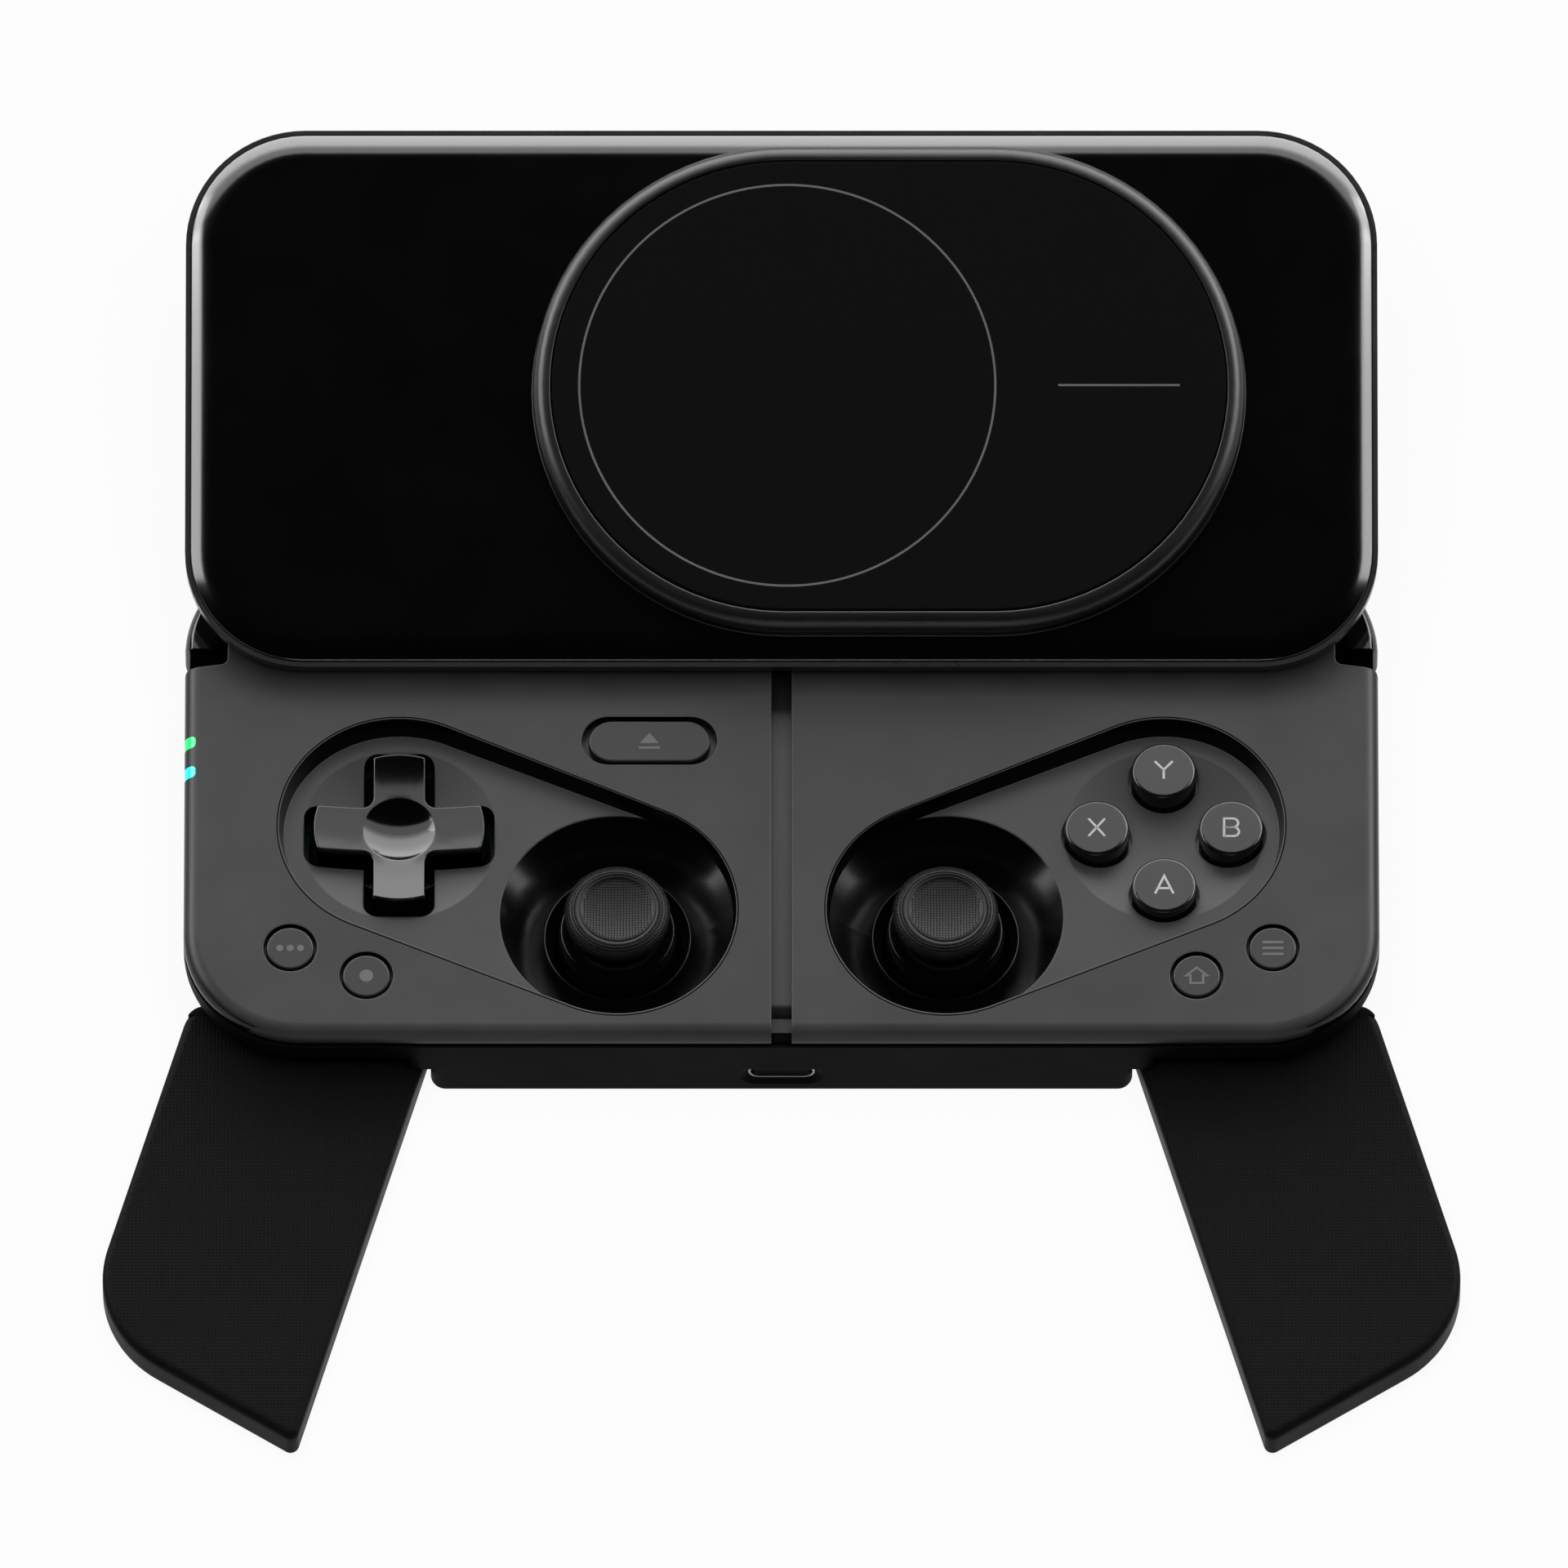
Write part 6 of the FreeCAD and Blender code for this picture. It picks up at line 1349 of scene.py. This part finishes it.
# %% Lid springs
LID_COIL = {"turns": 8.5, "radius": 1.08, "length": 5.0, "wire": 0.16}
LID_LEG = 2.4
LID_HINGE_Y = 24.7
LID_HINGE_Z = 20.0
LID_SPRING_X = 27.0
springs = []
for side, sign in (("left", -1), ("right", 1)):
    start = Vector((sign * LID_SPRING_X - LID_COIL["length"] / 2, LID_HINGE_Y, LID_HINGE_Z))
    springs.append(wound_coil(f"{side}_lid_coil", start, (1, 0, 0), **LID_COIL))
    near = start - Vector((0, LID_COIL["radius"], 0))
    leg_line = Vector((0, 0, -LID_LEG))
    springs.append(rod(f"{side}_lid_leg", near, leg_line, LID_COIL["wire"], spring_steel))
coils = join("lid_coils", springs)
seat(coils, "slider")
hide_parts("lid_torsion_springs")
print(coils.name, len(coils.data.polygons), "faces")

# %% [markdown]
# Four screws close the back. Each has a flat head with a turned edge, a six-lobed recess and a shank with
# ridges for its thread. One screw is drawn as rings of points, and a tree puts a copy at each corner.

# %% Case screws
SHANK_RADIUS = 0.88
CORE_RADIUS = 0.7
SHANK_END = 12.3
RIDGE_STEP = 0.28
SCREW_SPAN_X = 82
SCREW_SPAN_Y = 55
SCREW_MIDDLE_Y = -1.5


def screw_rings():
    """Rings of one screw from its tip to the floor of its recess, which is open downwards."""
    turns = full_turn(72)
    profile = [(0.3, SHANK_END + 0.4)]
    profile += [((SHANK_RADIUS, CORE_RADIUS)[i % 2], SHANK_END - RIDGE_STEP * i) for i in range(36)]
    profile += [(SHANK_RADIUS, 1.5), (1.75, 1.5), (1.95, 1.3), (1.95, 0.6), (1.85, 0.45), (1.7, 0.4)]
    rings = [[(radius * math.cos(a), -radius * math.sin(a), z) for a in turns] for radius, z in profile]
    for z, size in ((0.4, 1.0), (0.46, 0.94), (1.0, 0.9)):
        lobes = [size * (0.88 + 0.14 * math.cos(6 * a)) for a in turns]
        rings.append([(radius * math.cos(a), -radius * math.sin(a), z) for radius, a in zip(lobes, turns)])
    return rings


def copies_tree():
    """A copy of the mesh that the tree runs on at each corner of a rectangle."""
    inputs = [("Span X", "Float", 0.08), ("Span Y", "Float", 0.05), ("Middle", "Vector", (0, 0, 0))]
    group, begin, end = start_tree("screw_places", inputs)
    sizes = {"Size X": begin.outputs["Span X"], "Size Y": begin.outputs["Span Y"]}
    grid = add(group, "GeometryNodeMeshGrid", {"Vertices X": 2, "Vertices Y": 2, **sizes})
    shift = {"Geometry": grid.outputs[0], "Translation": begin.outputs["Middle"]}
    moved = add(group, "GeometryNodeTransform", shift)
    copies = {"Points": moved.outputs[0], "Instance": begin.outputs["Geometry"]}
    spread = add(group, "GeometryNodeInstanceOnPoints", copies)
    finish_tree(group, spread.outputs[0], end, screw_steel)
    return group


points, faces = loft(screw_rings())
one = piece("one_screw", points, faces, screw_steel, Matrix.Identity(4))
settings = {"Span X": SCREW_SPAN_X * MM, "Span Y": SCREW_SPAN_Y * MM}
settings["Middle"] = [0, SCREW_MIDDLE_Y * MM, 0]
screws = run_tree("star_screws", copies_tree(), settings, Matrix.Identity(4), start=one.data.copy())
bpy.data.objects.remove(one)
seat(screws, "base")
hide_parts("case_screws")
print("screws", len(screws.data.polygons), "faces")

# %% [markdown]
# The strip at the bottom of the centre slot bends down at its near end and stops short of the wall, so
# the slot shows a dark pocket there. It is a flat strip whose end follows a quarter circle.

# %% Guide rail
RAIL_TOP = 12.6
RAIL_BOTTOM = 11.8
RAIL_HALF = 3.4
RAIL_END = 35.8
NOSE = 2.2
NOSE_START = -31.2
section = [(RAIL_END, RAIL_TOP)] + arc(NOSE_START, RAIL_TOP - NOSE, NOSE, 90, 180, 10)
section += [
    (NOSE_START - NOSE + 0.8, RAIL_TOP - NOSE), (NOSE_START, RAIL_BOTTOM), (RAIL_END, RAIL_BOTTOM),
]
points, faces = loft([[(x, y, z) for y, z in section] for x in (-RAIL_HALF, RAIL_HALF)])
rail_made = piece("rail_nose", points, faces, rail_grey, Matrix.Identity(4))
seat(rail_made, "base")
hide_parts("guide_rail")
print("rail nose", len(faces), "faces")

# %% [markdown]
# The charging socket has a tongue with twelve gilt contacts on each side. The row tree of the bars makes
# them too, from settings of their own.

# %% Socket contacts
contact_gold = finish(
    "contact_gold", screen(214, 172, 96), 0.25, metal=1.0, cloud=0.08, grain=0.1, depth=0.5, wear_and_highlight=0.1,
    edge=0.05,
)
contact_row = row_tree("contact_row", "BAR", contact_gold)
CONTACT_Y = -34.0
settings = {
    "Count": 12,
    "Step": [0.5 * MM, 0, 0],
    "Start": [-2.75 * MM, 0, 0],
    "Size": [0.26 * MM, 2.4 * MM, 0.04 * MM],
}
for name, z in (("contacts_top", 4.8), ("contacts_under", 4.1)):
    contacts = run_tree(name, contact_row, settings, Matrix.Translation(Vector((0, CONTACT_Y, z)) * MM))
    seat(contacts, "base")
print("contacts ready")
